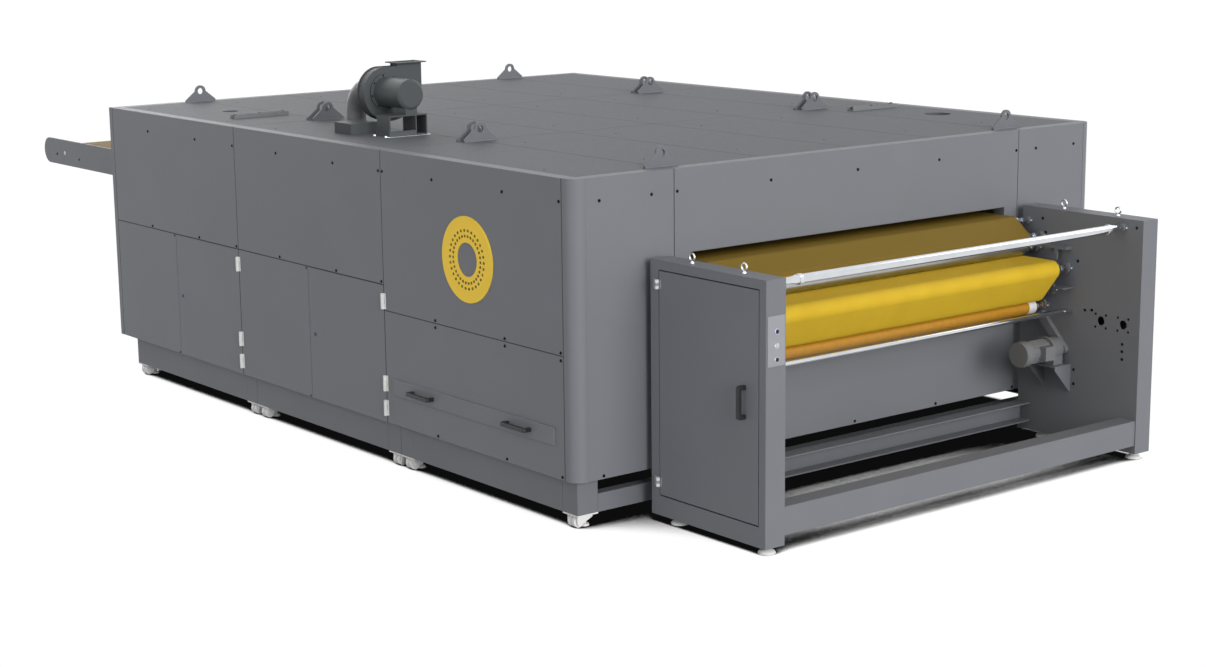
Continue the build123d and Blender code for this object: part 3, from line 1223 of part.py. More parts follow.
def scroll_outline(lip):
    """The casing's outline in its plane: a spiral from the top round to the far side, then the neck.

    The radius grows with a high power of the angle turned, from the start radius to the end radius.
    """
    points = []
    for i in range(SCROLL_STEPS):
        share = i / (SCROLL_STEPS - 1)
        angle = math.radians(90 + 270 * share)
        reach = SCROLL_START_RADIUS + lip + SCROLL_GROWTH * share**SCROLL_POWER
        points.append((BLOWER_AT_Y + reach * math.cos(angle), BLOWER_Z + reach * math.sin(angle)))
    neck_near = BLOWER_AT_Y + NECK_NEAR - lip
    with BuildSketch() as outline:
        with BuildLine():
            Spline(*points)
            Polyline(
                points[-1],
                (points[-1][0], NECK_TOP_Z),
                (neck_near, NECK_TOP_Z),
                (neck_near, BLOWER_Z + SCROLL_START_RADIUS + lip),
                points[0],
            )
        make_face()
    return outline.sketch


CASING = scroll_outline(0)
SIDE_PLATE = scroll_outline(SIDE_PLATE_LIP)
NECK_FAR_Y = BLOWER_AT_Y + SCROLL_END_RADIUS
NECK_NEAR_Y = BLOWER_AT_Y + NECK_NEAR
with BuildPart() as blower_volute:
    with BuildSketch(Plane.YZ.offset(BLOWER_AT_X)):
        add(CASING)
    extrude(amount=BLOWER_WIDTH)
    for x in (BLOWER_AT_X, BLOWER_AT_X + BLOWER_WIDTH - BLOWER_SHEET):
        with BuildSketch(Plane.YZ.offset(x)):
            add(SIDE_PLATE)
        extrude(amount=BLOWER_SHEET)
    block(
        (BLOWER_AT_X - FLANGE_RIM, BLOWER_AT_X + BLOWER_WIDTH + FLANGE_RIM),
        (NECK_NEAR_Y - FLANGE_RIM, NECK_FAR_Y + FLANGE_RIM),
        (NECK_TOP_Z - FLANGE_THICKNESS, NECK_TOP_Z),
    )
    block(
        (BLOWER_AT_X + BLOWER_SHEET, BLOWER_AT_X + BLOWER_WIDTH - BLOWER_SHEET),
        (NECK_NEAR_Y + BLOWER_SHEET, NECK_FAR_Y - BLOWER_SHEET),
        (NECK_TOP_Z - NECK_DEPTH, NECK_TOP_Z),
        mode=Mode.SUBTRACT,
    )
    for x in (BLOWER_AT_X - FLANGE_RIM / 2, BLOWER_AT_X + BLOWER_WIDTH + FLANGE_RIM / 2):
        for y in (NECK_NEAR_Y - FLANGE_RIM / 2, NECK_FAR_Y + FLANGE_RIM / 2):
            bolt_z = (NECK_TOP_Z - FLANGE_THICKNESS, NECK_TOP_Z)
            rod(FLANGE_BOLT_RADIUS, x, y, bolt_z, mode=Mode.SUBTRACT)
save(blower_volute, "blower_volute")

# Motor: a collar on the casing, a smooth barrel and a rounded end with a stepped cap
MOTOR_X = BLOWER_AT_X + BLOWER_WIDTH
with BuildPart() as blower_motor:
    end_x = MOTOR_X + BLOWER_MOTOR_LENGTH
    cap_radius = BLOWER_MOTOR_RADIUS - MOTOR_END_ROUND
    with BuildSketch(Plane.XZ.offset(-BLOWER_AT_Y)):
        with BuildLine():
            Polyline(
                (MOTOR_X, BLOWER_Z),
                (MOTOR_X, BLOWER_Z + MOTOR_COLLAR_RADIUS),
                (MOTOR_X + MOTOR_COLLAR_LENGTH, BLOWER_Z + MOTOR_COLLAR_RADIUS),
                (MOTOR_X + MOTOR_COLLAR_LENGTH, BLOWER_Z + BLOWER_MOTOR_RADIUS),
                (end_x - MOTOR_END_ROUND, BLOWER_Z + BLOWER_MOTOR_RADIUS),
                (end_x - MOTOR_END_ROUND / 4, BLOWER_Z + cap_radius + MOTOR_END_ROUND / 4),
                (end_x - MOTOR_END_ROUND / 4, BLOWER_Z + cap_radius),
                (end_x, BLOWER_Z + cap_radius - MOTOR_END_ROUND / 4),
                (end_x, BLOWER_Z),
                close=True,
            )
        make_face()
    revolve(axis=Axis((0, BLOWER_AT_Y, BLOWER_Z), (1, 0, 0)))
save(blower_motor, "blower_motor")

# Stand under the motor: a near side plate, a channel leg open to the out-feed end, two cross plates,
# a lip along the lower one and a saddle for the motor
STAND_X = (MOTOR_X + STAND_FROM_VOLUTE, MOTOR_X + STAND_FROM_VOLUTE + STAND_LENGTH)
STAND_Y = (Y_NEAR + STAND_NEAR, Y_NEAR + STAND_FAR)
STAND_TOP_Z = ROOF_Z + STAND_HEIGHT
SIDE_BOX_START = BLOWER_AT_X - SIDE_BOX_FROM_VOLUTE
SIDE_BOX_Y = (Y_NEAR + SIDE_BOX_NEAR, Y_NEAR + SIDE_BOX_FAR)
with BuildPart() as blower_stand:
    block(STAND_X, (STAND_Y[0], STAND_Y[0] + STAND_SHEET), (ROOF_Z, STAND_TOP_Z))
    block(STAND_X, (STAND_Y[1] - STAND_LEG, STAND_Y[1]), (ROOF_Z, STAND_TOP_Z))
    block(
        (STAND_X[0] + STAND_SHEET, STAND_X[1]),
        (STAND_Y[1] - STAND_LEG + STAND_SHEET, STAND_Y[1] - STAND_SHEET),
        (ROOF_Z + STAND_SHEET, STAND_TOP_Z - STAND_SHEET),
        mode=Mode.SUBTRACT,
    )
    cross_y = (STAND_Y[0] + STAND_SHEET, STAND_Y[1] - STAND_LEG)
    for low_z in (ROOF_Z, STAND_TOP_Z - STAND_SHEET):
        block(STAND_X, cross_y, (low_z, low_z + STAND_SHEET))
    block((STAND_X[1] - STAND_SHEET, STAND_X[1]), cross_y, (ROOF_Z, ROOF_Z + STAND_LIP))
    saddle_y = (BLOWER_AT_Y - STAND_SADDLE / 2, BLOWER_AT_Y + STAND_SADDLE / 2)
    block(STAND_X, saddle_y, (STAND_TOP_Z, BLOWER_Z))
    rod(BLOWER_MOTOR_RADIUS, STAND_X, BLOWER_AT_Y, BLOWER_Z, mode=Mode.SUBTRACT)
    block(
        (SIDE_BOX_START, SIDE_BOX_START + SIDE_BOX_LENGTH),
        SIDE_BOX_Y,
        (ROOF_Z, ROOF_Z + SIDE_BOX_HEIGHT),
    )
save(blower_stand, "blower_stand")

# Inlet pipe: from a collar on the roof up through a bend into the casing's back
INLET_X = BLOWER_AT_X - INLET_FROM_VOLUTE
BEND_SEGMENTS = 4
with BuildPart() as blower_inlet:
    with BuildLine() as inlet_path:
        bend = [(INLET_X, BLOWER_AT_Y, ROOF_Z)]
        for i in range(BEND_SEGMENTS + 1):
            angle = math.radians(180 - 90 * i / BEND_SEGMENTS)
            bend.append(
                (
                    INLET_X + INLET_BEND + INLET_BEND * math.cos(angle),
                    BLOWER_AT_Y,
                    BLOWER_Z - INLET_BEND + INLET_BEND * math.sin(angle),
                )
            )
        bend.append((BLOWER_AT_X, BLOWER_AT_Y, BLOWER_Z))
        Polyline(*bend)
    with BuildSketch(Plane(origin=bend[0], z_dir=(0, 0, 1))):
        Circle(INLET_RADIUS)
    sweep(path=inlet_path.wire(), transition=Transition.RIGHT)
    rod(INLET_COLLAR_RADIUS, INLET_X, BLOWER_AT_Y, (ROOF_Z, ROOF_Z + INLET_COLLAR_THICKNESS))
    rod(INLET_COLLAR_RADIUS, (BLOWER_AT_X - INLET_COLLAR_THICKNESS, BLOWER_AT_X), BLOWER_AT_Y, BLOWER_Z)
save(blower_inlet, "blower_inlet")
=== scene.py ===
"""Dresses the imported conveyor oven: finishes on every piece, the belt cloth, screws, locks, welds,
eye bolts and the small fittings, on a plain white studio floor."""

import json
import math

import bmesh
import bpy
import numpy as np
from mathutils import Matrix, Vector


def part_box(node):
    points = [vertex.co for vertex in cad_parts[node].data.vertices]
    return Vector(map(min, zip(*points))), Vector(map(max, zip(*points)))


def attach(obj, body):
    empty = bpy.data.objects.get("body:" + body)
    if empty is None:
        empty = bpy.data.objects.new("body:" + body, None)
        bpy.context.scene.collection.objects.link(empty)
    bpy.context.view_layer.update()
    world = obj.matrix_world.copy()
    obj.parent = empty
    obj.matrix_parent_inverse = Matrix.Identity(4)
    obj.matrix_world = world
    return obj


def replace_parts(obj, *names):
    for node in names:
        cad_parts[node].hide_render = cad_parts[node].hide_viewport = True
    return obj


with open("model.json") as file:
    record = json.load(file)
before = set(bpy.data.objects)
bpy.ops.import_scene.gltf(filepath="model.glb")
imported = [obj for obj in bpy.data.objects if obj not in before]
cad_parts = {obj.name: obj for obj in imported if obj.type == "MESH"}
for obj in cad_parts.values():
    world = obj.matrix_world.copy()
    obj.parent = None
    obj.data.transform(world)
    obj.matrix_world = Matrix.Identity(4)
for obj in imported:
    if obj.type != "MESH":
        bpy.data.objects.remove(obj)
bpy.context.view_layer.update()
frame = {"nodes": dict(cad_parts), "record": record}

bl_info = {
    "name": "Conveyor oven dressing",
    "version": (1, 0, 0),
    "blender": (4, 5, 0),
    "location": "View3D > Sidebar > Oven",
    "description": "Finishes and small fittings of a wide conveyor oven",
    "category": "Object",
}

MM = 0.001
NODES = frame["nodes"]
SLOT_OF_NODE = {part["node"]: part["material_slot"] for part in frame["record"]["subparts"]}
BOTH_SIDES = (-1, 1)


# Colours and nodes

MIX_A, MIX_B, MIX_OUT = 6, 7, 2


def linear(hex_colour, gain=1.0):
    """An sRGB hex colour such as "#75777b" as linear red, green, blue and alpha, lightened by gain."""
    channels = [int(hex_colour[i : i + 2], 16) / 255 for i in (1, 3, 5)]
    curve = [c / 12.92 if c <= 0.04045 else ((c + 0.055) / 1.055) ** 2.4 for c in channels]
    return (*(min(1.0, c * gain) for c in curve), 1.0)


def add_node(tree, kind, inputs=None, **settings):
    """Adds a shader node: settings are its own values, inputs are socket values or links to sockets."""
    made = tree.nodes.new("ShaderNode" + kind)
    for name, value in settings.items():
        setattr(made, name, value)
    for key, value in (inputs or {}).items():
        if isinstance(value, bpy.types.NodeSocket):
            tree.links.new(value, made.inputs[key])
        else:
            made.inputs[key].default_value = value
    return made


def new_finish(name):
    """An empty node material, with its tree."""
    material = bpy.data.materials.new(name)
    material.use_nodes = True
    material.node_tree.nodes.clear()
    return material, material.node_tree


def close_finish(material, tree, shader):
    """Wires the finished shader to the material's output."""
    add_node(tree, "OutputMaterial", {"Surface": shader.outputs[0]})
    return material


def clouded(tree, place, size, dark, light, detail, roughness=0.5):
    """A colour that drifts between two tones, in clouds of a size in metres, and the clouds' own value."""
    noise = {"Vector": place, "Scale": 1 / size, "Detail": detail, "Roughness": roughness}
    clouds = add_node(tree, "TexNoise", noise).outputs["Fac"]
    tone = add_node(tree, "Mix", {0: clouds, MIX_A: dark, MIX_B: light}, data_type="RGBA")
    return tone.outputs[MIX_OUT], clouds


def powder_coat(name, colour, gloss_roughness=0.42, grain=2.5, mottle=0.06, specular=0.16):
    """Powder coat on steel: baked-on polyester, an even satin with a fine orange peel.

    The peel is a noise of grain millimetres, drawn coarser than the real half millimetre so that it shows.
    Slow cloudy tone comes from a noise of about 350 mm, and the coat wears a little lighter in specks.
    """
    material, tree = new_finish(name)
    place = add_node(tree, "TexCoord").outputs["Object"]
    peel = add_node(tree, "TexNoise", {"Vector": place, "Scale": 1 / (grain * MM), "Detail": 2.0})
    tones = linear(colour, 1 - mottle), linear(colour, 1 + mottle)
    tone = clouded(tree, place, 350 * MM, *tones, 3.0)[0]
    fine_noise = {"Vector": place, "Scale": 1 / (14 * MM), "Detail": 6.0, "Roughness": 0.7}
    specks = add_node(tree, "TexNoise", fine_noise).outputs["Fac"]
    spot = add_node(tree, "MapRange", {0: specks, 1: 0.70, 2: 0.86, 3: 0.0, 4: 0.16}).outputs[0]
    skin = add_node(tree, "Mix", {0: spot, MIX_A: tone, MIX_B: linear(colour, 1.45)}, data_type="RGBA")
    sheen_range = {0: specks, 1: 0.3, 2: 0.7, 3: gloss_roughness - 0.04, 4: gloss_roughness + 0.06}
    sheen = add_node(tree, "MapRange", sheen_range)
    bump = add_node(tree, "Bump", {"Strength": 0.12, "Distance": 0.25 * MM, "Height": peel.outputs["Fac"]})
    coat = {
        "Base Color": skin.outputs[MIX_OUT],
        "Roughness": sheen.outputs[0],
        "IOR": 1.5,
        "Specular IOR Level": specular,
        "Normal": bump.outputs["Normal"],
    }
    return close_finish(material, tree, add_node(tree, "BsdfPrincipled", coat))


def bare_metal(name, light, dark, roughness, streak=(1.0, 1.0, 1.0), streak_mm=2.0, bump=0.1):
    """Bare or plated metal: the colour is its reflection, broken by fine machining streaks.

    streak stretches the noise along an axis, so lathe marks run round a roller and lie across its length.
    """
    material, tree = new_finish(name)
    place = add_node(tree, "TexCoord").outputs["Object"]
    stretched = add_node(tree, "Mapping", {"Vector": place, "Scale": streak}).outputs[0]
    streaks = {"Vector": stretched, "Scale": 1 / (streak_mm * MM), "Detail": 4.0}
    marks = add_node(tree, "TexNoise", streaks).outputs["Fac"]
    tone = clouded(tree, place, 90 * MM, linear(dark), linear(light), 4.0)[0]
    polish_range = {0: marks, 1: 0.3, 2: 0.7, 3: roughness * 0.75, 4: roughness * 1.35}
    polish = add_node(tree, "MapRange", polish_range)
    relief = add_node(tree, "Bump", {"Strength": bump, "Distance": 0.1 * MM, "Height": marks})
    metal = {
        "Base Color": tone,
        "Metallic": 1.0,
        "Roughness": polish.outputs[0],
        "Normal": relief.outputs["Normal"],
    }
    return close_finish(material, tree, add_node(tree, "BsdfPrincipled", metal))


def moulded(name, colour, roughness=0.5, grain=0.9, ior=1.46):
    """Moulded plastic or rubber: spark-eroded grain from the mould, no paint, faint tone changes."""
    material, tree = new_finish(name)
    place = add_node(tree, "TexCoord").outputs["Object"]
    cells = add_node(tree, "TexVoronoi", {"Vector": place, "Scale": 1 / (grain * MM)})
    tone, clouds = clouded(tree, place, 25 * MM, linear(colour, 0.82), linear(colour, 1.15), 3.0)
    rough = add_node(tree, "MapRange", {0: clouds, 3: roughness - 0.06, 4: roughness + 0.08})
    grains = {"Strength": 0.15, "Distance": 0.2 * MM, "Height": cells.outputs["Distance"]}
    plastic = {
        "Base Color": tone,
        "Roughness": rough.outputs[0],
        "IOR": ior,
        "Normal": add_node(tree, "Bump", grains).outputs["Normal"],
    }
    return close_finish(material, tree, add_node(tree, "BsdfPrincipled", plastic))


def coated_belt_cloth(name, colours, thread=3.0):
    """Polyester belt cloth with a rubbed-in coating: the weave shows through as a fine basket.

    UV is metres along and across the belt. Threads are drawn 3 mm apart, coarser than the real
    millimetre, so that they show. The carrying run is painted darker: painted shade, not a stain.
    Its colour goes from the painted-shade colour to the fresh one as that attribute falls from 1 to 0.
    """
    material, tree = new_finish(name)
    along = add_node(tree, "UVMap").outputs["UV"]
    bands = {"Vector": along, "Scale": 0.31 / (thread * MM), "Distortion": 0.4}
    warp, weft = (add_node(tree, "TexWave", bands, bands_direction=way).outputs["Fac"] for way in "XY")
    weave = add_node(tree, "Math", {0: warp, 1: weft}, operation="MULTIPLY").outputs[0]
    deep, bright = linear(colours.belt_deep), linear(colours.belt_bright)
    fresh = clouded(tree, along, 1 / 6, deep, bright, 5.0, 0.6)[0]
    fine = add_node(tree, "TexNoise", {"Vector": along, "Scale": 240.0, "Detail": 3.0}).outputs["Fac"]
    # Painted shade: the carrying run gets a darker colour that stands in for the shade it lies in.
    shaded = add_node(tree, "Attribute", attribute_name="shaded").outputs["Fac"]
    painting = {0: shaded, MIX_A: fresh, MIX_B: linear(colours.belt_shade_tinted)}
    shade_tinted = add_node(tree, "Mix", painting, data_type="RGBA").outputs[MIX_OUT]
    threads = add_node(tree, "MapRange", {0: weave, 1: 0.0, 2: 1.0, 3: 0.90, 4: 1.06}).outputs[0]
    woven = {0: 1.0, MIX_A: shade_tinted, MIX_B: threads}
    coloured = add_node(tree, "Mix", woven, data_type="RGBA", blend_type="MULTIPLY")
    bump = add_node(tree, "Bump", {"Strength": 0.35, "Distance": 0.5 * MM, "Height": weave})
    hairs = {"Strength": 0.2, "Distance": 0.3 * MM, "Height": fine, "Normal": bump.outputs["Normal"]}
    cloth = {
        "Base Color": coloured.outputs[MIX_OUT],
        "Roughness": 0.6,
        "IOR": 1.48,
        "Specular IOR Level": 0.12,
        "Normal": add_node(tree, "Bump", hairs).outputs["Normal"],
    }
    return close_finish(material, tree, add_node(tree, "BsdfPrincipled", cloth))


# Shapes as arrays

def grid(points, wrap_rows=False, wrap_columns=False):
    """Quads over a grid of points with rows and columns, joined round where a direction wraps."""
    rows, columns = points.shape[:2]
    index = np.arange(rows * columns).reshape(rows, columns)
    below = np.roll(index, -1, axis=0) if wrap_rows else index[1:]
    here = index if wrap_rows else index[:-1]
    if wrap_columns:
        right_here, right_below = np.roll(here, -1, axis=1), np.roll(below, -1, axis=1)
    else:
        right_here, right_below = here[:, 1:], below[:, 1:]
        here, below = here[:, :-1], below[:, :-1]
    quads = np.stack([here, right_here, right_below, below], axis=-1).reshape(-1, 4)
    return points.reshape(-1, 3), quads


def turned(profile, sides=24, at=(0, 0, 0), axis="Z"):
    """Surface of revolution: each point (radius, height) of the profile goes round in equal steps.

    x = r cos(a), y = r sin(a), z = h, with the axis then laid along X, Y or Z and moved to at.
    """
    profile = np.asarray(profile, float)
    angle = np.linspace(0, 2 * np.pi, sides, endpoint=False)
    r, h = profile[:, :1], profile[:, 1:]
    ring = np.stack([r * np.cos(angle), r * np.sin(angle), h + 0 * angle], axis=-1)
    order = {"Z": (0, 1, 2), "X": (2, 0, 1), "Y": (1, 2, 0)}[axis]
    points = ring[..., order] + np.asarray(at, float)
    return grid(points, wrap_columns=True)


def in_mm(profile):
    """A profile written in millimetres, in metres."""
    return np.array(profile) * MM


def ring_wall(inner, outer, foot, top):
    """The profile of a flat ring with a square section, closed on itself."""
    return [(inner, foot), (outer, foot), (outer, top), (inner, top), (inner, foot)]


def bar(low, high, edge=1.0 * MM):
    """A block with its long edges broken: its outline in X and Z is an octagon, carried along Y.

    Each end ring is drawn in by the same edge, so every corner is chamfered.
    """
    (x0, y0, z0), (x1, y1, z1) = np.minimum(low, high), np.maximum(low, high)

    def ring(inset, y):
        left, right, foot, top = x0 + inset, x1 - inset, z0 + inset, z1 - inset
        outline = [
            (left + edge, foot), (right - edge, foot), (right, foot + edge), (right, top - edge),
            (right - edge, top), (left + edge, top), (left, top - edge), (left, foot + edge),
        ]
        return [(x, y, z) for x, z in outline]

    first, last = ([((x0 + x1) / 2, y, (z0 + z1) / 2)] * 8 for y in (y0, y1))
    rings = [first, ring(edge, y0), ring(0, y0 + edge), ring(0, y1 - edge), ring(edge, y1), last]
    return grid(np.array(rings, float), wrap_columns=True)


def copies(shape, places):
    """The same small shape at each place: its points are added to every row of places."""
    points, quads = shape
    places = np.asarray(places, float).reshape(-1, 3)
    moved = (points[None] + places[:, None]).reshape(-1, 3)
    step = np.arange(len(places))[:, None, None] * len(points)
    return moved, (quads[None] + step).reshape(-1, 4)


def swept(radius, path, sides=10, closed=False):
    """A round rod along a path: each ring lies in the plane square to the path's direction there."""
    path = np.asarray(path, float)
    ahead = np.roll(path, -1, axis=0) - np.roll(path, 1, axis=0)
    if not closed:
        ahead[0], ahead[-1] = path[1] - path[0], path[-1] - path[-2]
    ahead /= np.linalg.norm(ahead, axis=1, keepdims=True)
    reference = np.eye(3)[int(np.argmin(np.abs(ahead).sum(axis=0)))]
    side = np.cross(ahead, reference)
    side /= np.linalg.norm(side, axis=1, keepdims=True)
    lift = np.cross(side, ahead)
    angle = np.linspace(0, 2 * np.pi, sides, endpoint=False)[None, :, None]
    ring = side[:, None] * np.cos(angle) + lift[:, None] * np.sin(angle)
    thickness = np.broadcast_to(np.asarray(radius, float), (len(path),))[:, None, None]
    points = path[:, None] + ring * thickness
    if not closed:
        first, last = (np.repeat(path[i][None, None], sides, axis=1) for i in (0, -1))
        points = np.concatenate([first, points, last])
    return grid(points, wrap_rows=closed, wrap_columns=True)


RING_TURN = np.linspace(0, 2 * np.pi, 48, endpoint=False)


def round_ring(x, y, z, ring_radius, wire_radius, sides):
    """A torus whose hole faces along Y: the rod's path is a circle in X and Z, begun at its top."""
    turn = RING_TURN
    path = [x + ring_radius * np.sin(turn), y + 0 * turn, z + ring_radius * np.cos(turn)]
    return swept(wire_radius, np.stack(path, axis=1), sides, closed=True)


# Objects

FINISHES = {}


def linked(name, data):
    """A new object that holds the data, in the scene."""
    made = bpy.data.objects.new(name, data)
    bpy.context.scene.collection.objects.link(made)
    return made


def finished_piece(name, mesh, finish, body, sharp):
    """Shades the mesh smooth but for edges sharper than so many degrees, and rides it on its body."""
    mesh.shade_smooth()
    mesh.set_sharp_from_angle(angle=math.radians(sharp))
    mesh.materials.append(FINISHES[finish])
    piece = linked(name, mesh)
    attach(piece, body)
    return piece


def make_piece(name, shapes, finish, body="machine", sharp=35.0):
    """Joins shapes into one mesh, merges its seams and poles, and turns the faces outwards.
    """
    points = np.concatenate([shape[0] for shape in shapes])
    starts = np.cumsum([0] + [len(shape[0]) for shape in shapes[:-1]])
    quads = np.concatenate([shape[1] + start for shape, start in zip(shapes, starts)])
    mesh = bpy.data.meshes.new(name)
    mesh.from_pydata(points.tolist(), [], quads.tolist())
    work = bmesh.new()
    work.from_mesh(mesh)
    bmesh.ops.remove_doubles(work, verts=work.verts, dist=0.01 * MM)
    bmesh.ops.dissolve_degenerate(work, edges=work.edges, dist=0.005 * MM)
    bmesh.ops.recalc_face_normals(work, faces=work.faces)
    work.to_mesh(mesh)
    work.free()
    return finished_piece(name, mesh, finish, body, sharp)


# Property groups

def length_property(label, description, metres):
    return bpy.props.FloatProperty(name=label, description=description, default=metres, unit="LENGTH")


def colour_property(label, description, hex_colour):
    return bpy.props.StringProperty(name=label, description=description, default=hex_colour)


class OvenSizes(bpy.types.PropertyGroup):
    """Sizes of what is added to the frame, in metres."""

    screw_head: length_property("Screw head", "Diameter of a panel screw's button head", 0.0135)
    belt_thickness: length_property("Belt thickness", "Thickness of the coated cloth", 0.004)
    belt_ripple: length_property("Belt ripple", "Height of the slow waves on free runs", 0.0016)
    weld_radius: length_property("Weld", "Radius of the fillet weld beads on the lugs", 0.004)
    ring_rod: length_property("Eye bolt ring", "Radius of the round bar of an eye bolt's ring", 0.0039)


class OvenColours(bpy.types.PropertyGroup):
    """Colours as sRGB hex."""

    panel: colour_property("Panels", "Powder coat of the panels", "#76787d")
    # Painted shade: drawn darker than the panels' coat because the top takes more light.
    roof: colour_property("Roof", "Powder coat of the roof sheets", "#5f6165")
    frame_coat: colour_property("Frames", "Powder coat of the base and brackets", "#717378")
    disc: colour_property("Disc", "Paint of the vent disc", "#fbd346")
    belt_bright: colour_property("Belt, bright", "Coated belt cloth where rubbed", "#e2bf34")
    belt_deep: colour_property("Belt, deep", "Coated belt cloth in its pores", "#cda62a")
    # Painted shade: the darker colour of the carrying run, standing in for the shade it lies in.
    belt_shade_tinted: colour_property("Belt, browned", "The carrying run, browned by heat", "#7c6526")
    blower: colour_property("Blower", "Paint of the blower casing", "#4e5254")
    blower_light: colour_property("Blower pipe", "Paint of the inlet pipe", "#7c7e80")
    motor: colour_property("Gearmotor", "Machine enamel of the drive", "#77787a")
    castor: colour_property("Castors", "Coat of the castors' brackets", "#e2e2e0")
    black: colour_property("Handles", "Moulded handles", "#1d1e20")
    sheet: colour_property("Control plate", "Light sheet of the controls", "#96979c")
    lock: colour_property("Locks", "Quarter-turn lock inserts", "#27325c")
    # Painted shade: a darker amber than the belt's yellow, for the shade the roller lies in below the belt.
    sleeve: colour_property("Drive sleeve", "Cast sleeve of the drive roller", "#b98422")
    screw: colour_property("Screws", "Blackened screws", "#242528")


# Stage

# The camera was fitted to the edges of the housing and the cabinets: its place in metres, and degrees.
CAMERA_AT = (9.0123, -6.4129, 2.4354)
CAMERA_TURN = 51.8588
CAMERA_LIFT = 11.4860
CAMERA_ROLL = -0.6296
PICTURE_WIDTH = 1206
FOCAL_PIXELS = 2176.26
SENSOR = 36.0
FLOOR_SIZE = 90.0
# The sky's light fades in between these two heights of its direction, so it comes from above.
SKY_DARK_BELOW = 0.30
SKY_FULL_ABOVE = 0.60
SKY_LIGHT = 0.32
# The floor looks black up to the first share of open sky above it and white from the second share on.
SHADOW_BLACK = 0.25
SHADOW_WHITE = 0.42
# Nothing farther than this hides the sky from a spot of the floor.
SHADOW_REACH = 1.4
# Each lamp's direction from the oven, the width of its disc in degrees, and its strength.
LAMPS = {
    "out_feed_side": ((1.0, -0.06, 0.26), 40.0, 2.8),
    "operator_side": ((0.15, -1.0, 0.35), 50.0, 0.78),
    "infeed_side": ((-1.0, 0.05, 0.30), 50.0, 1.2),
    "far_side": ((0.1, 1.0, 0.35), 50.0, 0.9),
}


def bright_for_eye(tree):
    """1 for rays seen by the eye, directly or in metal and glass, and 0 for rays that light things."""
    path = add_node(tree, "LightPath").outputs
    seen = path["Is Camera Ray"]
    for ray in ("Is Glossy Ray", "Is Transmission Ray"):
        seen = add_node(tree, "Math", {0: seen, 1: path[ray]}, operation="MAXIMUM").outputs[0]
    return seen


def make_world():
    """A white room to the eye, and a soft light from above to the oven."""
    world = bpy.data.worlds.new("studio")
    bpy.context.scene.world = world
    world.use_nodes = True
    tree = world.node_tree
    tree.nodes.clear()
    seen = add_node(tree, "Background", {"Color": (1, 1, 1, 1), "Strength": 1.0})
    height = add_node(tree, "SeparateXYZ", {"Vector": add_node(tree, "TexCoord").outputs["Generated"]})
    fade = {0: height.outputs["Z"], 1: SKY_DARK_BELOW, 2: SKY_FULL_ABOVE, 3: 0.0, 4: SKY_LIGHT}
    dome = add_node(tree, "MapRange", fade)
    light = add_node(tree, "Background", {"Color": (0.96, 0.98, 1.0, 1), "Strength": dome.outputs[0]})
    mix = add_node(tree, "MixShader", {0: bright_for_eye(tree), 1: light.outputs[0], 2: seen.outputs[0]})
    add_node(tree, "OutputWorld", {"Surface": mix.outputs[0]})


def make_floor():
    """White studio floor: the eye sees it pure white, but for the close shadow under the object.

    That shadow is the share of the sky hidden from each spot of the floor, so it is black under the
    machine and fades out within a hand's width of its foot. The floor's own bounce light is separate.
    """
    material, tree = new_finish("studio_floor")
    open_sky = add_node(tree, "AmbientOcclusion", {"Distance": SHADOW_REACH}, samples=32).outputs["AO"]
    tone = add_node(tree, "MapRange", {0: open_sky, 1: SHADOW_BLACK, 2: SHADOW_WHITE, 3: 0.004, 4: 1.02})
    seen = add_node(tree, "Emission", {"Color": (1, 1, 1, 1), "Strength": tone.outputs[0]})
    light = add_node(tree, "BsdfDiffuse", {"Color": (0.62, 0.62, 0.62, 1)})
    mix = add_node(tree, "MixShader", {0: bright_for_eye(tree), 1: light.outputs[0], 2: seen.outputs[0]})
    close_finish(material, tree, mix)
    half = FLOOR_SIZE / 2
    corners = [(-half, -half, 0), (half, -half, 0), (half, half, 0), (-half, half, 0)]
    mesh = bpy.data.meshes.new("studio_floor")
    mesh.from_pydata(corners, [], [(0, 1, 2, 3)])
    mesh.materials.append(material)
    linked("studio_floor", mesh)


def make_sun(name, towards, spread, strength):
    """A distant lamp: towards points from the oven to the lamp, spread is how wide its disc looks."""
    lamp = bpy.data.lights.new(name, "SUN")
    lamp.angle = math.radians(spread)
    lamp.energy = strength
    holder = linked(name, lamp)
    holder.location = Vector(towards) * 10
    holder.rotation_euler = Vector(towards).to_track_quat("Z", "Y").to_euler()


def make_camera():
    """The photo's camera: turned about the upright, lifted from level and rolled a little."""
    camera = bpy.data.cameras.new("photo_view")
    camera.sensor_width = SENSOR
    camera.lens = FOCAL_PIXELS / PICTURE_WIDTH * SENSOR
    camera.clip_end = 200.0
    turn = Matrix.Identity(4)
    for degrees, axis in ((CAMERA_TURN, "Z"), (90 - CAMERA_LIFT, "X"), (CAMERA_ROLL, "Z")):
        turn = turn @ Matrix.Rotation(math.radians(degrees), 4, axis)
    holder = linked("photo_view", camera)
    holder.matrix_world = Matrix.Translation(CAMERA_AT) @ turn
    bpy.context.scene.camera = holder
    bpy.context.scene.view_settings.view_transform = "Standard"


class OVEN_OT_stage(bpy.types.Operator):
    """Adds the floor, the soft studio light and the camera"""

    bl_idname = "oven.stage"
    bl_label = "Studio"

    def execute(self, context):
        make_world()
        make_floor()
        for name, (towards, spread, strength) in LAMPS.items():
            make_sun(name, towards, spread, strength)
        make_camera()
        return {"FINISHED"}


# Finishes of the frame's own nodes

OTHER_FINISH = {"blower_inlet": "pipe_paint", "roof_rails": "pipe_paint", "roof_panels": "roof_paint"}


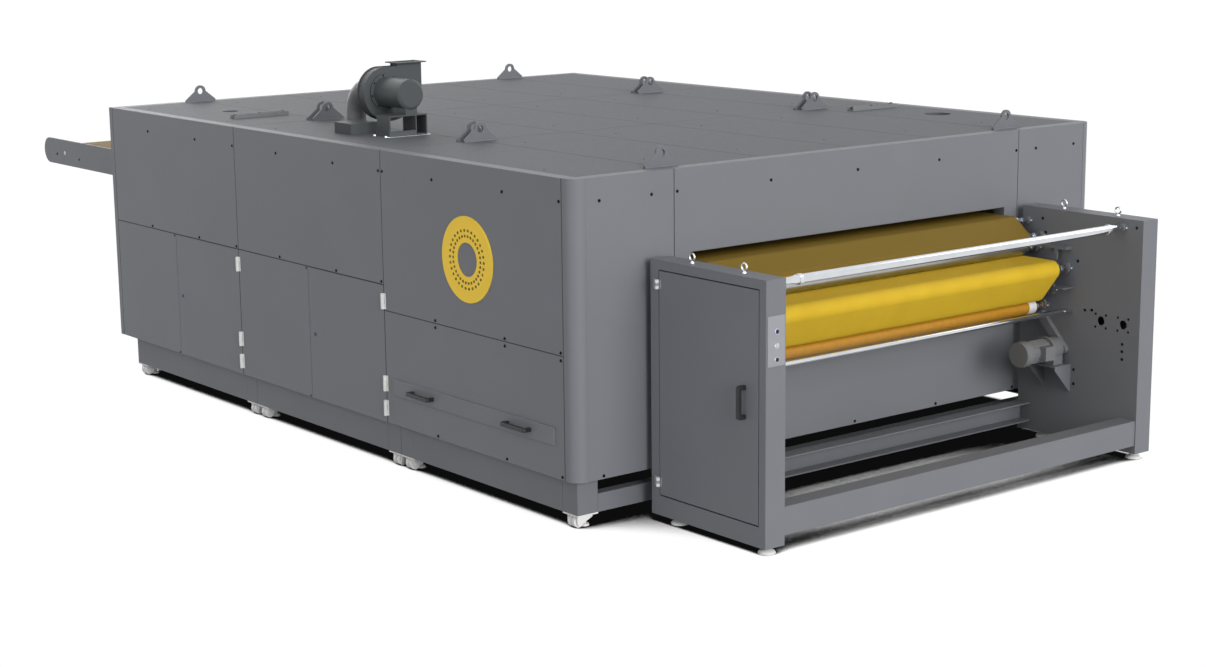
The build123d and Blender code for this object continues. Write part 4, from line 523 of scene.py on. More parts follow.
def make_finishes(colours):
    """One material for each of the record's slots, and a few for small fittings."""
    round_bar = (1, 12, 1)
    round_tube = (1, 14, 1)
    even = (1, 1, 1)
    FINISHES.update(
        panel_paint=powder_coat("powder_coated_panel", colours.panel),
        frame_paint=powder_coat("powder_coated_frame", colours.frame_coat, 0.46, 3.0, 0.08),
        # The roof sheets are drawn darker than the panels: painted shade for the stronger light on the top.
        # The coat is also rougher, so it shines less at a low angle.
        roof_paint=powder_coat("shade_darkened_roof_coat", colours.roof, 0.55, 2.5, 0.05, 0.14),
        disc_paint=powder_coat("yellow_enamelled_sheet", colours.disc, 0.35, 2.0, 0.03),
        belt_fabric=coated_belt_cloth("coated_polyester_belt", colours),
        # Hard chrome is ground and polished, so it mirrors the room with fine rings round the bar.
        chrome=bare_metal("polished_hard_chrome", "#e4e6e9", "#c6cacf", 0.09, round_bar, 3.0, 0.03),
        # Ground steel tube has rings from the grinder and a duller, greyer gleam.
        roller_steel=bare_metal("ground_steel", "#b9bbbe", "#97999c", 0.30, round_tube, 3.0, 0.08),
        # Zinc plate is bright and slightly mottled.
        zinc=bare_metal("bright_zinc_plate", "#eceef0", "#c4c8cc", 0.24, even, 4.0, 0.1),
        white_castor=powder_coat("white_coated_casting", colours.castor, 0.38, 3.5, 0.04),
        blower_paint=powder_coat("dark_grey_blower_paint", colours.blower, 0.40, 2.0, 0.06),
        motor_paint=powder_coat("grey_machine_enamel", colours.motor, 0.34, 2.5, 0.07),
        black_plastic=moulded("glass_filled_nylon", colours.black, 0.48),
        control_sheet=powder_coat("light_grey_sheet", colours.sheet, 0.36, 1.8, 0.03),
        button_plastic=moulded("glossy_button_caps", "#232428", 0.25, 1.2),
        # Painted shade: the sleeve is drawn a darker amber than the belt, for the shade it lies in below the
        # belt.
        drive_sleeve=moulded("shade_darkened_amber_polyurethane", colours.sleeve, 0.38, 1.5, 1.5),
        pipe_paint=powder_coat("light_grey_pipe_paint", colours.blower_light, 0.40, 2.0, 0.05),
        lock_plastic=moulded("blue_black_lock_insert", colours.lock, 0.30, 1.0),
        blackened=bare_metal("blackened_screw_steel", colours.screw, "#121315", 0.50, even, 1.5, 0.15),
        # A lamp cap is moulded from milky polycarbonate, so it stays pale and glossy when it is off.
        lamp_cap=moulded("milky_lamp_cap", "#b9bcc2", 0.22, 1.2, 1.58),
        # The hubs are pressed plates in a blue-grey zinc passivation.
        hub_blue=bare_metal("blue_passivated_hub", "#7d88a0", "#5c667c", 0.36, even, 3.0, 0.1),
        # Flat black for the strips and rings that stand in for shade in seams and holes: painted shade.
        dark_rubber=moulded("flat_black_painted_shade", "#151515", 0.65, 1.4),
    )


class OVEN_OT_finishes(bpy.types.Operator):
    """Gives every node of the frame the finish of its slot"""

    bl_idname = "oven.finishes"
    bl_label = "Finishes"

    def execute(self, context):
        make_finishes(context.scene.oven_colours)
        for name, node in NODES.items():
            node.data.materials.clear()
            node.data.materials.append(FINISHES[OTHER_FINISH.get(name, SLOT_OF_NODE[name])])
        return {"FINISHED"}


# Belt cloth

# The rollers in the belt's order, with -1 for one that the belt rounds on its outer side.
BELT_ROLLERS = {
    "infeed_nose_roller": 1,
    "top_guide_roller": 1,
    "drop_guide_roller": 1,
    "wrap_roller": -1,
    "outfeed_nose_roller": 1,
    "return_roller": 1,
}
# An arc longer than this comes from a roller that the belt only touches, so it is no arc.
GRAZING_TURN = 1.9 * math.pi
ARC_STEP = math.radians(9)
RUN_STEP = 0.045
ACROSS_STEP = 0.045
# Height over which the painted shade of the carrying run fades in.
SHADE_TINT_FADE = 0.02
# The cloth is a little thinner than the belt and stands off the rollers, so that none cuts it.
CLOTH_THINNER = 0.2 * MM
CLOTH_CLEARANCE = 0.3 * MM
WANDER = 2.0 * MM
WANDER_WAVES = 7
EDGE_ROOM = 2.5 * MM
RIPPLE_FADE = 0.25
# Each slow wave of the cloth: its share of the height, its radians a metre along and across, its start.
RIPPLES = ((1.0, 9.0, 2.3, 0.0), (0.7, 17.0, -5.1, 1.0), (0.6, 4.1, 8.7, 2.0))


def roller_circle(node):
    """Centre in X and Z, and radius, of a roller: half the height of its box."""
    low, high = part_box(node)
    return np.array([(low.x + high.x) / 2, (low.z + high.z) / 2]), (high.z - low.z) / 2


def belt_circles(lift):
    """The circles that the middle of the cloth follows, with a negative radius on outer rollers.

    The last two are the inner guides by the in-feed: a lower one, and an upper one outside the loop.
    """
    circles = [(*roller_circle(node), side) for node, side in BELT_ROLLERS.items()]
    low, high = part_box("inner_guide_rollers")
    upper_radius = roller_circle("wrap_roller")[1]
    return_at, lower_radius = roller_circle("return_roller")
    circles.append((np.array([high.x - lower_radius, return_at[1]]), lower_radius, 1))
    circles.append((np.array([low.x + upper_radius, high.z - upper_radius]), upper_radius, -1))
    return [(centre, side * (radius + lift)) for centre, radius, side in circles]


def tangent_angle(first, second):
    """The angle of the outward normal of the straight run from one circle to the next.

    The normal n obeys n . (c2 - c1) = r1 - r2, so it lies acos((r1 - r2) / distance) from the run.
    """
    (c1, r1), (c2, r2) = first, second
    reach = c2 - c1
    return math.atan2(reach[1], reach[0]) + math.acos((r1 - r2) / float(np.hypot(*reach)))


def belt_line(circles):
    """Points and outward normals all round the loop, and how far each lies from its nearest roller."""
    following = circles[1:] + circles[:1]
    out = [tangent_angle(here, ahead) for here, ahead in zip(circles, following)]
    points, normals, free = [], [], []
    for i, ((centre, radius), (next_centre, next_radius)) in enumerate(zip(circles, following)):
        start, end = out[i - 1], out[i]
        turn = (end - start) % (2 * math.pi)
        if radius > 0:
            turn -= 2 * math.pi
        if abs(turn) > GRAZING_TURN:
            turn = 0.0
        steps = max(2, math.ceil(abs(turn) / ARC_STEP) + 1)
        angle = start + turn * np.linspace(0, 1, steps)
        normal = np.stack([np.cos(angle), np.sin(angle)], axis=1)
        leave = centre + radius * normal[-1]
        arrive = next_centre + next_radius * normal[-1]
        length = float(np.hypot(*(arrive - leave)))
        inner = max(1, math.ceil(length / RUN_STEP)) - 1
        share = (np.arange(inner) + 1) / (inner + 1)
        points += [centre + radius * normal, leave + (arrive - leave) * share[:, None]]
        normals += [normal, np.repeat(normal[-1:], inner, axis=0)]
        free += [np.zeros(steps), np.minimum(share, 1 - share) * length]
    return np.concatenate(points), np.concatenate(normals), np.concatenate(free)


def belt_section(sizes):
    """The belt's points in rows along it, with the distances along and across it.

    Each row is a flat ring: out across the carrying face and back across the inner face. On free runs
    it is lifted by slow waves that fade to nothing near the rollers, and its edges wander 2 mm.
    """
    thickness = sizes.belt_thickness - CLOTH_THINNER
    line, normal, free = belt_line(belt_circles(sizes.belt_thickness / 2 + CLOTH_CLEARANCE))
    gaps = np.hypot(*(np.roll(line, -1, axis=0) - line).T)
    loop = gaps.sum()
    along = np.concatenate([[0], np.cumsum(gaps)[:-1]])[:, None]
    half_width = -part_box("belt_infeed_wraps")[0].y - EDGE_ROOM
    across = np.linspace(-half_width, half_width, int(2 * half_width / ACROSS_STEP))
    near = np.clip(free / RIPPLE_FADE, 0, 1)[:, None]
    waves = sum(
        height * np.sin(along * along_rate + across * across_rate + start)
        for height, along_rate, across_rate, start in RIPPLES
    )
    lift = sizes.belt_ripple * near**2 * (3 - 2 * near) * waves / sum(ripple[0] for ripple in RIPPLES)
    wander = WANDER * np.sin(2 * np.pi * WANDER_WAVES * along / loop)
    centre_x, centre_z = line[:, :1] + normal[:, :1] * lift, line[:, 1:] + normal[:, 1:] * lift
    centre = np.stack([centre_x, across + wander, centre_z], axis=-1)
    out = np.stack([normal[:, 0], 0 * free, normal[:, 1]], axis=-1)[:, None] * thickness / 2
    points = np.concatenate([centre + out, (centre - out)[:, ::-1]], axis=1)
    return points, np.append(along, loop), across


def map_belt(mesh, points, quads, along, across):
    """The UV map, in metres along and across the belt, and an attribute of painted shade over its carrying
    run.
    """
    rows, ring = points.shape[:2]
    row_of, column_of = quads // ring, quads % ring
    closing = (row_of == 0) & (row_of[:, :1] == rows - 1)
    u = along[np.where(closing, rows, row_of)]
    v = np.concatenate([across, across[::-1]])[column_of]
    uv = np.stack([u, v], axis=-1)[:, ::-1].ravel()
    mesh.uv_layers.new(name="cloth").data.foreach_set("uv", uv.astype(np.float32))
    # Painted shade: points above the drop guide roller's foot get the carrying run's darker colour.
    height = points[..., 2].ravel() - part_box("drop_guide_roller")[0].z
    shade_tint = np.clip(height / SHADE_TINT_FADE, 0, 1).astype(np.float32)
    mesh.attributes.new("shaded", "FLOAT", "POINT").data.foreach_set("value", shade_tint)


def make_belt(sizes):
    """The belt as one closed loop of cloth with thickness, in place of the frame's four belt nodes."""
    points, along, across = belt_section(sizes)
    vertices, quads = grid(points, wrap_rows=True, wrap_columns=True)
    mesh = bpy.data.meshes.new("belt_cloth")
    mesh.from_pydata(vertices.tolist(), [], quads[:, ::-1].tolist())
    map_belt(mesh, points, quads, along, across)
    belt = finished_piece("belt_cloth", mesh, "belt_fabric", "machine", 50.0)
    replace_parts(belt, "belt_top_run", "belt_outfeed_wraps", "belt_return_run", "belt_infeed_wraps")


class OVEN_OT_belt(bpy.types.Operator):
    """Lays the coated cloth round the rollers"""

    bl_idname = "oven.belt"
    bl_label = "Belt cloth"

    def execute(self, context):
        make_belt(context.scene.oven_sizes)
        return {"FINISHED"}


# Panel screws

SUNK = 0.3 * MM
FLUSH_HEAD = 0.4 * MM
# Shares of a head's radius: its height, the size of a door's screws and the height of a roof screw.
HEAD_HEIGHT = 0.55
SMALL_HEAD = 0.7
ROOF_HEAD_HEIGHT = 0.33
SCREW_STEPS = (0.390, 0.882, 1.250)
SCREW_AT_SEAM = 0.015
TOP_ROW_Z = 1.288
MIDDLE_ROW_Z = 0.812
DRAWER_ROWS_Z = (0.702, 0.672)
FOOT_ROW_Z = 0.209
DOOR_SCREW_STEP = 0.624
DOOR_SCREWS_Z = (0.791, 0.202)
END_TOP_Y = (0.0, 0.490, 0.985, 1.115, 1.372)
END_FOOT_Y = (0.0, 0.497, 0.996, 1.364)
ROOF_STEPS = (0.215, 1.020)
ROOF_ROWS = 6
ROOF_SCREW_FROM_EDGE = 0.105
HALF_SEAM = 1.5 * MM
MODULES = 3
DRAWER_MODULE = 2


def module_seams():
    """X of the four ends of the three housing modules, half a seam outside the near panels."""
    low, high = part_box("near_panels")
    return np.linspace(low.x - HALF_SEAM, high.x + HALF_SEAM, MODULES + 1)


def heads(facing, radius, height, places, sides=14):
    """Button heads turned to face along facing, such as "-Y", with their backs sunk in the sheet.

    Seen from its side a head is a rolled rim, a low dome and a flat-bottomed socket.
    """
    sign = -1.0 if facing[0] == "-" else 1.0
    rim = [(0.0, -SUNK), (radius, -SUNK), (radius, 0.2 * height)]
    dome = [(0.82 * radius, 0.75 * height), (0.55 * radius, height)]
    socket = [(0.46 * radius, height), (0.43 * radius, 0.35 * height), (0.0, 0.35 * height)]
    shape = turned([(r, sign * h) for r, h in rim + dome + socket], sides, axis=facing[1])
    return copies(shape, places)


def side_screw_places(y):
    """Rows of screws near each panel's top and foot, at the same steps from every seam."""
    places = []
    for number, seam in enumerate(module_seams()[:MODULES]):
        rows = [TOP_ROW_Z, MIDDLE_ROW_Z]
        if number == DRAWER_MODULE:
            rows = [TOP_ROW_Z, *DRAWER_ROWS_Z, FOOT_ROW_Z]
            places.append((seam + SCREW_AT_SEAM, y, TOP_ROW_Z))
        places += [(seam + step, y, z) for z in rows for step in SCREW_STEPS]
    return places


def make_panel_screws(sizes):
    """Blackened button heads on the four sides, flush ones on the far side, painted ones on the roof."""
    radius = sizes.screw_head / 2
    proud = radius * HEAD_HEIGHT
    near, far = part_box("corner_columns")
    starts = module_seams()[:MODULES]
    doors = [(seam + DOOR_SCREW_STEP, near.y, z) for seam in starts[:DRAWER_MODULE] for z in DOOR_SCREWS_Z]
    rows = ((TOP_ROW_Z, END_TOP_Y), (FOOT_ROW_Z, END_FOOT_Y))
    ends = sorted({(side * y, z) for z, row in rows for y in row for side in BOTH_SIDES})
    shapes = [
        heads("-Y", radius, proud, side_screw_places(near.y)),
        heads("-Y", radius * SMALL_HEAD, proud * SMALL_HEAD, doors),
        heads("+Y", radius, FLUSH_HEAD, side_screw_places(far.y)),
        heads("+X", radius, proud, [(far.x, y, z) for y, z in ends]),
        heads("-X", radius, proud, [(near.x, y, z) for y, z in ends]),
    ]
    make_piece("panel_screws", shapes, "blackened")
    row_width = (far.y - near.y) / ROOF_ROWS
    roof = [
        (seam + step, near.y + row * row_width + ROOF_SCREW_FROM_EDGE, far.z)
        for seam in starts
        for step in ROOF_STEPS
        for row in range(ROOF_ROWS)
    ]
    painted = heads("+Z", radius * SMALL_HEAD, radius * ROOF_HEAD_HEIGHT, roof)
    # The roof screws share the roof's darker coat, painted shade included.
    make_piece("roof_screws", [painted], "roof_paint")


class OVEN_OT_panel_screws(bpy.types.Operator):
    """Adds the button-head screws of the side, end and roof panels"""

    bl_idname = "oven.panel_screws"
    bl_label = "Panel screws"

    def execute(self, context):
        make_panel_screws(context.scene.oven_sizes)
        return {"FINISHED"}


# Painted shade in the seams

# Black strips that stand in for the shade in the panel seams: painted shade.
SHADE_STRIP_BACK = 10.0 * MM
SHADE_STRIP_SETBACK = 0.3 * MM
SHADE_STRIP_HALF_WIDTH = 1.4 * MM
DOOR_EDGE_GAP = 4.5 * MM
DOOR_SEAM_Z = (0.7975, 0.8015)
DRAWER_SEAM_Z = (0.6882, 0.6908)


def make_shade_strips():
    """Black strips in the gaps between panels, a little behind their faces: painted shade, so that seams
    read dark.
    """
    low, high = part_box("near_panels")
    seams = module_seams()
    upright = (low.z + MM, high.z - MM)
    strips = []

    def strip(x, z, side):
        face = side * (-low.y - SHADE_STRIP_SETBACK)
        strips.append(bar((x[0], face, z[0]), (x[1], face - side * SHADE_STRIP_BACK, z[1]), 0.3 * MM))

    for side in BOTH_SIDES:
        for seam in seams:
            strip((seam - SHADE_STRIP_HALF_WIDTH, seam + SHADE_STRIP_HALF_WIDTH), upright, side)
        strip((seams[0], seams[2]), DOOR_SEAM_Z, side)
        strip((seams[2], seams[3]), DRAWER_SEAM_Z, side)
    # Painted shade in the gap beside the edge of each lower door.
    for seam in seams[1:3]:
        strip((seam - DOOR_EDGE_GAP, seam - SHADE_STRIP_HALF_WIDTH), (upright[0], DOOR_SEAM_Z[0]), -1)
    make_piece("seam_shade_strips", strips, "dark_rubber")


class OVEN_OT_shade_strips(bpy.types.Operator):
    """Adds the black strips of painted shade in the seams of the side panels"""

    bl_idname = "oven.gaskets"
    bl_label = "Seam gaskets"

    def execute(self, context):
        make_shade_strips()
        return {"FINISHED"}


# Doors: locks and hinge covers

LOCK_Z = 0.4955
LOCK_FROM_EDGE = 0.045
LOCK_PROUD = 3.0 * MM
LOCK_RADIUS = 9.5 * MM
LOCK_HEIGHT = 1.6 * MM
DOOR_HINGES_Z = (0.262, 0.370, 0.730)
DOOR_HINGE_HEIGHT = 0.068
CABINET_HINGES_Z = (0.167, 0.953)
CABINET_HINGE_HEIGHT = 0.036
HINGE_PIN_RADIUS = 8.0 * MM
HINGE_LEAF = 14.0 * MM
LEAF_THICKNESS = 3.0 * MM
LEAF_FROM_PIN = HINGE_PIN_RADIUS + 1.4 * MM
COVER = 0.35 * MM
COVER_OFF_SHEET = 0.1 * MM


def leaf_cover(near_x, far_x, y, z, height):
    """A thin cap over a hinge leaf, from near_x to far_x, that stands clear of the sheet behind it."""
    front = y - LEAF_THICKNESS - COVER
    return bar((near_x, front, z - height / 2), (far_x, y - COVER_OFF_SHEET, z + height / 2), 0.6 * MM)


def hinge_cover(x, y, z, height, side):
    """A cap over a door's half of a hinge: the leaf's plate and a sleeve on the middle knuckle."""
    plate = leaf_cover(x + side * LEAF_FROM_PIN, x + side * (HINGE_LEAF + COVER), y, z, height)
    half = height / 6 - 0.4 * MM
    wall = ring_wall(HINGE_PIN_RADIUS - 0.5 * MM, HINGE_PIN_RADIUS + COVER, -half, half)
    return [plate, turned(wall, 28, (x, y - HINGE_PIN_RADIUS, z))]


def make_locks_and_hinges():
    """Quarter-turn locks and pale hinge caps, each riding on its own door."""
    near_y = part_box("corner_columns")[0].y
    for number, door in enumerate(("lower_door_1", "lower_door_2"), start=1):
        lock_at = (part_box(door)[0].x + LOCK_FROM_EDGE, near_y - LOCK_PROUD, LOCK_Z)
        insert = heads("-Y", LOCK_RADIUS, LOCK_HEIGHT, [lock_at], 24)
        make_piece(f"door_lock_{number}", [insert], "lock_plastic", door)
        pivot = module_seams()[number]
        shapes = []
        for z in DOOR_HINGES_Z:
            shapes += hinge_cover(pivot, near_y, z, DOOR_HINGE_HEIGHT, -1)
        make_piece(f"door_hinge_caps_{number}", shapes, "white_castor", body=door)
    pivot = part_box("door_hinges")[1].x - HINGE_PIN_RADIUS
    face_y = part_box("cabinet_posts")[0].y
    far_x = pivot - 2 * HINGE_LEAF - COVER
    shapes, plates = [], []
    for z in CABINET_HINGES_Z:
        shapes += hinge_cover(pivot, face_y, z, CABINET_HINGE_HEIGHT, 1)
        plates.append(leaf_cover(pivot - LEAF_FROM_PIN, far_x, face_y, z, CABINET_HINGE_HEIGHT))
    make_piece("cabinet_hinge_caps", shapes, "control_sheet", body="cabinet_door")
    make_piece("cabinet_hinge_plates", plates, "control_sheet")


class OVEN_OT_locks_and_hinges(bpy.types.Operator):
    """Adds the lock inserts and the pale caps of the door hinges"""

    bl_idname = "oven.locks_and_hinges"
    bl_label = "Locks and hinges"

    def execute(self, context):
        make_locks_and_hinges()
        return {"FINISHED"}


# Vent disc

# A black ring behind the holes and black rims round them are painted shade for the holes.
HOLE_SHADE_RADII = (0.088, 0.128)
HOLE_SHADE_THICKNESS = 1.2 * MM
HOLE_RINGS = (0.096, 0.119)
HOLES_IN_RING = 30
HOLE_INNER = 4.2 * MM
HOLE_EDGE = 6.2 * MM
RIM_PROUD = 0.25 * MM


def ring_places(centre, radius, count, start=0.0):
    """Places spaced evenly round a circle, as pairs across and up."""
    angle = start + np.arange(count) * 2 * np.pi / count
    return [(centre[0] + radius * math.cos(a), centre[1] + radius * math.sin(a)) for a in angle]


def make_disc_hole_shade():
    """A dark ring behind the two rings of holes, in the disc's thickness, and a dark rim round each: painted
    shade, so that the holes read dark and larger.
    """
    low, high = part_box("vent_disc")
    x, z = (low.x + high.x) / 2, (low.z + high.z) / 2
    ring = turned(ring_wall(*HOLE_SHADE_RADII, 0.0, -HOLE_SHADE_THICKNESS), 96, (x, high.y, z), "Y")
    make_piece("disc_backing", [ring], "dark_rubber")
    rim = turned(ring_wall(HOLE_INNER, HOLE_EDGE, SUNK, -RIM_PROUD), 12, axis="Y")
    holes = [spot for radius in HOLE_RINGS for spot in ring_places((x, z), radius, HOLES_IN_RING)]
    rims = copies(rim, [(across, low.y, up) for across, up in holes])
    make_piece("disc_hole_rim_shade", [rims], "dark_rubber")


class OVEN_OT_disc_hole_shade(bpy.types.Operator):
    """Adds the painted shade of the vent disc's holes: a dark ring seen through them, and dark rims round
    them
    """

    bl_idname = "oven.disc_backing"
    bl_label = "Disc backing"

    def execute(self, context):
        make_disc_hole_shade()
        return {"FINISHED"}


# Lug welds

LUG_PLATE = 10.0 * MM
LUG_LENGTH = 0.170
LUG_AT_Y = 1.0
LUG_FROM_END = 0.010
LUG_PAIR = 0.025
BEAD_STEPS = 85
BEAD_PITCH = 6.0 * MM
BEAD_RIPPLE = 0.10
# The bead's slower swell: radians a metre, and a share of its radius.
SWELL_RATE = 61
SWELL = 0.12


def make_lug_welds(sizes):
    """Weld beads along both feet of each lug: a rod half sunk in the corner, its radius rippled.

    The ripples are a sine every 6 mm along the bead, with a slower swell, as a hand-laid bead has.
    """
    roof_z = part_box("corner_columns")[1].z
    seams = module_seams()
    plates = [seams[0] + LUG_FROM_END, seams[3] - LUG_FROM_END]
    plates += [seam + side * LUG_PAIR for seam in seams[1:3] for side in BOTH_SIDES]
    along = np.linspace(-LUG_LENGTH / 2, LUG_LENGTH / 2, BEAD_STEPS)
    ripple = BEAD_RIPPLE * np.sin(along * 2 * np.pi / BEAD_PITCH) + SWELL * np.sin(along * SWELL_RATE)
    still = 0 * along
    shapes = []
    for edge in [x + side * LUG_PLATE / 2 for x in plates for side in BOTH_SIDES]:
        for y in (-LUG_AT_Y, LUG_AT_Y):
            path = np.stack([edge + still, y + along, roof_z + still], axis=1)
            shapes.append(swept(sizes.weld_radius * (1 + ripple), path, 8))
    make_piece("lug_welds", shapes, "panel_paint", sharp=60.0)


class OVEN_OT_lug_welds(bpy.types.Operator):
    """Adds the weld beads at the feet of the lifting lugs"""

    bl_idname = "oven.lug_welds"
    bl_label = "Lug welds"

    def execute(self, context):
        make_lug_welds(context.scene.oven_sizes)
        return {"FINISHED"}


# Eye bolts

EYE_RING_RADIUS = 0.014
EYE_COLLAR_HEIGHT = 0.009
EYE_INSET = (EYE_RING_RADIUS + 4 * MM, 9 * MM)
EYE_TOP_THINNER = 0.13
EYE_COLLAR = (
    (0.0, 0.0), (9.0, 0.0), (9.0, 2.4), (8.2, 3.4), (5.6, 4.2),
    (4.6, 6.0), (4.2, 9.0), (3.2, 11.0), (0.0, 11.4),
)


def cabinet_spots(node, inset_x, inset_y):
    """The four places near the ends of both cabinets, set in from the corners of the node's box."""
    low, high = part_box(node)
    across = (low.y + inset_y, high.y - inset_y)
    return [(x, y) for x in (low.x + inset_x, high.x - inset_x) for y in across]


def make_eye_bolts(sizes):
    """Forged eye bolts: a torus that thickens where it meets its collar, as a drop forging does."""
    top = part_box("cabinet_posts")[1].z
    rod = sizes.ring_rod * (1 - EYE_TOP_THINNER * (1 + np.cos(RING_TURN)) / 2)
    ring_z = top + EYE_COLLAR_HEIGHT + EYE_RING_RADIUS
    shapes = []
    for x, y in cabinet_spots("eye_bolts", *EYE_INSET):
        shapes.append(round_ring(x, y, ring_z, EYE_RING_RADIUS, rod, 12))
        shapes.append(turned(in_mm(EYE_COLLAR), 24, (x, y, top)))
    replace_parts(make_piece("eye_bolt_forgings", shapes, "zinc", sharp=50.0), "eye_bolts")


class OVEN_OT_eye_bolts(bpy.types.Operator):
    """Adds the forged eye bolts on the cabinets"""

    bl_idname = "oven.eye_bolts"
    bl_label = "Eye bolts"

    def execute(self, context):
        make_eye_bolts(context.scene.oven_sizes)
        return {"FINISHED"}


# Controls

BEZEL = ((0.0, 0.0), (11.0, 0.0), (11.0, 3.4), (10.2, 4.4), (8.8, 4.6), (8.4, 3.6), (0.0, 3.6))
KNOB = ((0.0, 3.0), (8.3, 3.0), (8.3, 5.6), (7.4, 6.4), (0.0, 6.4))
LAMP_DOME = ((0.0, 3.0), (8.3, 3.0), (8.2, 5.2), (7.2, 7.0), (5.0, 8.2), (2.5, 8.7), (0.0, 8.8))
PUSH_CAP = ((0.0, 3.0), (8.3, 3.0), (8.3, 5.4), (7.8, 6.0), (6.4, 5.7), (0.0, 5.4))
CONTROLS = {
    "selector_knob": (0.854, "lock_plastic", KNOB),
    "signal_lamp": (0.800, "lamp_cap", LAMP_DOME),
    "push_button": (0.749, "button_plastic", PUSH_CAP),
}
WING_FOOT = 6.0 * MM
WING_HALF_WIDTH = 2.2 * MM
WING_HALF_LENGTH = 7.6 * MM


def make_controls():
    """Three controls of 22 mm fitting: a selector with a wing, a milky lamp and a flat push button."""
    low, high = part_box("control_buttons")
    y = (low.y + high.y) / 2

    def fitted(profile, z):
        return turned(in_mm(profile), 32, (low.x, y, z), "X")

    bezels = [fitted(BEZEL, z) for z, finish, cap in CONTROLS.values()]
    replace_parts(make_piece("control_bezels", bezels, "zinc", sharp=40.0), "control_buttons")
    for name, (z, finish, cap) in CONTROLS.items():
        shapes = [fitted(cap, z)]
        if cap is KNOB:
            wing_low = (low.x + WING_FOOT, y - WING_HALF_WIDTH, z - WING_HALF_LENGTH)
            shapes.append(bar(wing_low, (high.x, y + WING_HALF_WIDTH, z + WING_HALF_LENGTH), 0.9 * MM))
        make_piece(name, shapes, finish, sharp=40.0)


class OVEN_OT_controls(bpy.types.Operator):
    """Adds the selector, the lamp and the push button of the control plate"""

    bl_idname = "oven.controls"
    bl_label = "Controls"

    def execute(self, context):
        make_controls()
        return {"FINISHED"}


# Roller ends

# The radius of each roller's shaft, in millimetres.
SET_COLLARS = {
    "top_guide_roller": 9.0,
    "drop_guide_roller": 9.0,
    "wrap_roller": 12.0,
    "outfeed_nose_roller": 12.0,
    "return_roller": 12.0,
    "drive_roller": 12.0,
}
ROLLER_FACE = 0.915
COLLAR_FROM_FACE = 0.036
COLLAR_LENGTH = 0.016
COLLAR_THICKNESS = 5.0 * MM
HUB_LENGTH = 0.022
CAP_FROM = 0.868
CAP_LENGTH = 0.048
CAP_PROUD = 0.15 * MM
CAP_DISH = 0.5 * MM
SLEEVE_FROM = 0.945
SLEEVE = ((12.0, 0.0), (16.0, 0.0), (16.5, 2.0), (16.5, 25.0), (16.0, 27.0), (12.0, 27.0), (12.0, 0.0))
TAPER_FROM = 0.914
# The take-off tube's end: shares of its radius, at so many millimetres beyond its face.
TAPER = (
    (0.0, 0.0), (0.97, 0.0), (0.94, 4.0), (0.78, 21.0), (0.74, 46.0), (0.60, 54.0), (0.56, 66.0), (0.0, 66.0)
)
CLAMP_Y = 0.893
CLAMP_LENGTH = 0.018
CLAMP_THICKNESS = 3.2 * MM


def both_ends(profile, sides, x, z, face):
    """The same turned shape at both ends of a roller, with its heights counted outwards from face."""
    return [
        turned([(r, side * h) for r, h in profile], sides, (x, side * face, z), "Y") for side in BOTH_SIDES
    ]


def collar_wall(shaft, length, thickness):
    """The profile of a shaft collar: a ring with broken outer edges, closed on itself."""
    outer = shaft + thickness
    half, edge = length / 2, 1.0 * MM
    rim = [(outer - edge, -half), (outer, -half + edge), (outer, half - edge), (outer - edge, half)]
    return [(shaft, -half), *rim, (shaft, half), (shaft, -half)]


def make_roller_ends():
    """Set collars on each roller's shaft, and the hub plates that close the tubes' ends."""
    for node, shaft_mm in SET_COLLARS.items():
        (x, z), radius = roller_circle(node)
        shaft = shaft_mm * MM
        collar = collar_wall(shaft, COLLAR_LENGTH, COLLAR_THICKNESS)
        hub = [
            (shaft, -1.0 * MM),
            (radius * 0.80, -1.0 * MM),
            (radius * 0.80, 0.5 * HUB_LENGTH),
            (radius * 0.66, 0.6 * HUB_LENGTH),
            (shaft + 6 * MM, HUB_LENGTH - 1.5 * MM),
            (shaft + 4 * MM, HUB_LENGTH),
            (shaft, HUB_LENGTH),
            (shaft, -1.0 * MM),
        ]
        collars = both_ends(collar, 28, x, z, ROLLER_FACE + COLLAR_FROM_FACE)
        hubs = both_ends(hub, 36, x, z, ROLLER_FACE)
        make_piece(f"{node}_collars", collars, "zinc", node, 30.0)
        make_piece(f"{node}_hubs", hubs, "hub_blue", node, 30.0)


def make_drive_caps():
    """White end rings on the drive roller's rubber, with a bright sleeve on the shaft beyond them."""
    (x, z), radius = roller_circle("drive_roller")
    inner, outer = radius * 0.9, radius + CAP_PROUD
    cap = [(inner, 0.0), (outer, 0.0), (outer, CAP_LENGTH), (inner, CAP_LENGTH + CAP_DISH), (inner, 0.0)]
    caps = both_ends(cap, 48, x, z, CAP_FROM)
    sleeves = both_ends(in_mm(SLEEVE), 28, x, z, SLEEVE_FROM)
    make_piece("drive_roller_caps", caps, "white_castor", "drive_roller", 30.0)
    make_piece("drive_roller_sleeves", sleeves, "zinc", "drive_roller", 30.0)


def make_takeoff_ends():
    """The take-off tube's tapered ends, each turned down in two steps to its shaft, and a clamp ring."""
    (x, z), radius = roller_circle("takeoff_roller")
    cones = both_ends([(r * radius, h * MM) for r, h in TAPER], 40, x, z, TAPER_FROM)
    clamp = collar_wall(radius - 0.3 * MM, CLAMP_LENGTH, CLAMP_THICKNESS)
    make_piece("takeoff_roller_cones", cones, "chrome", "takeoff_roller", 30.0)
    clamps = both_ends(clamp, 28, x, z, CLAMP_Y)
    make_piece("takeoff_roller_clamps", clamps, "zinc", "takeoff_roller", 30.0)


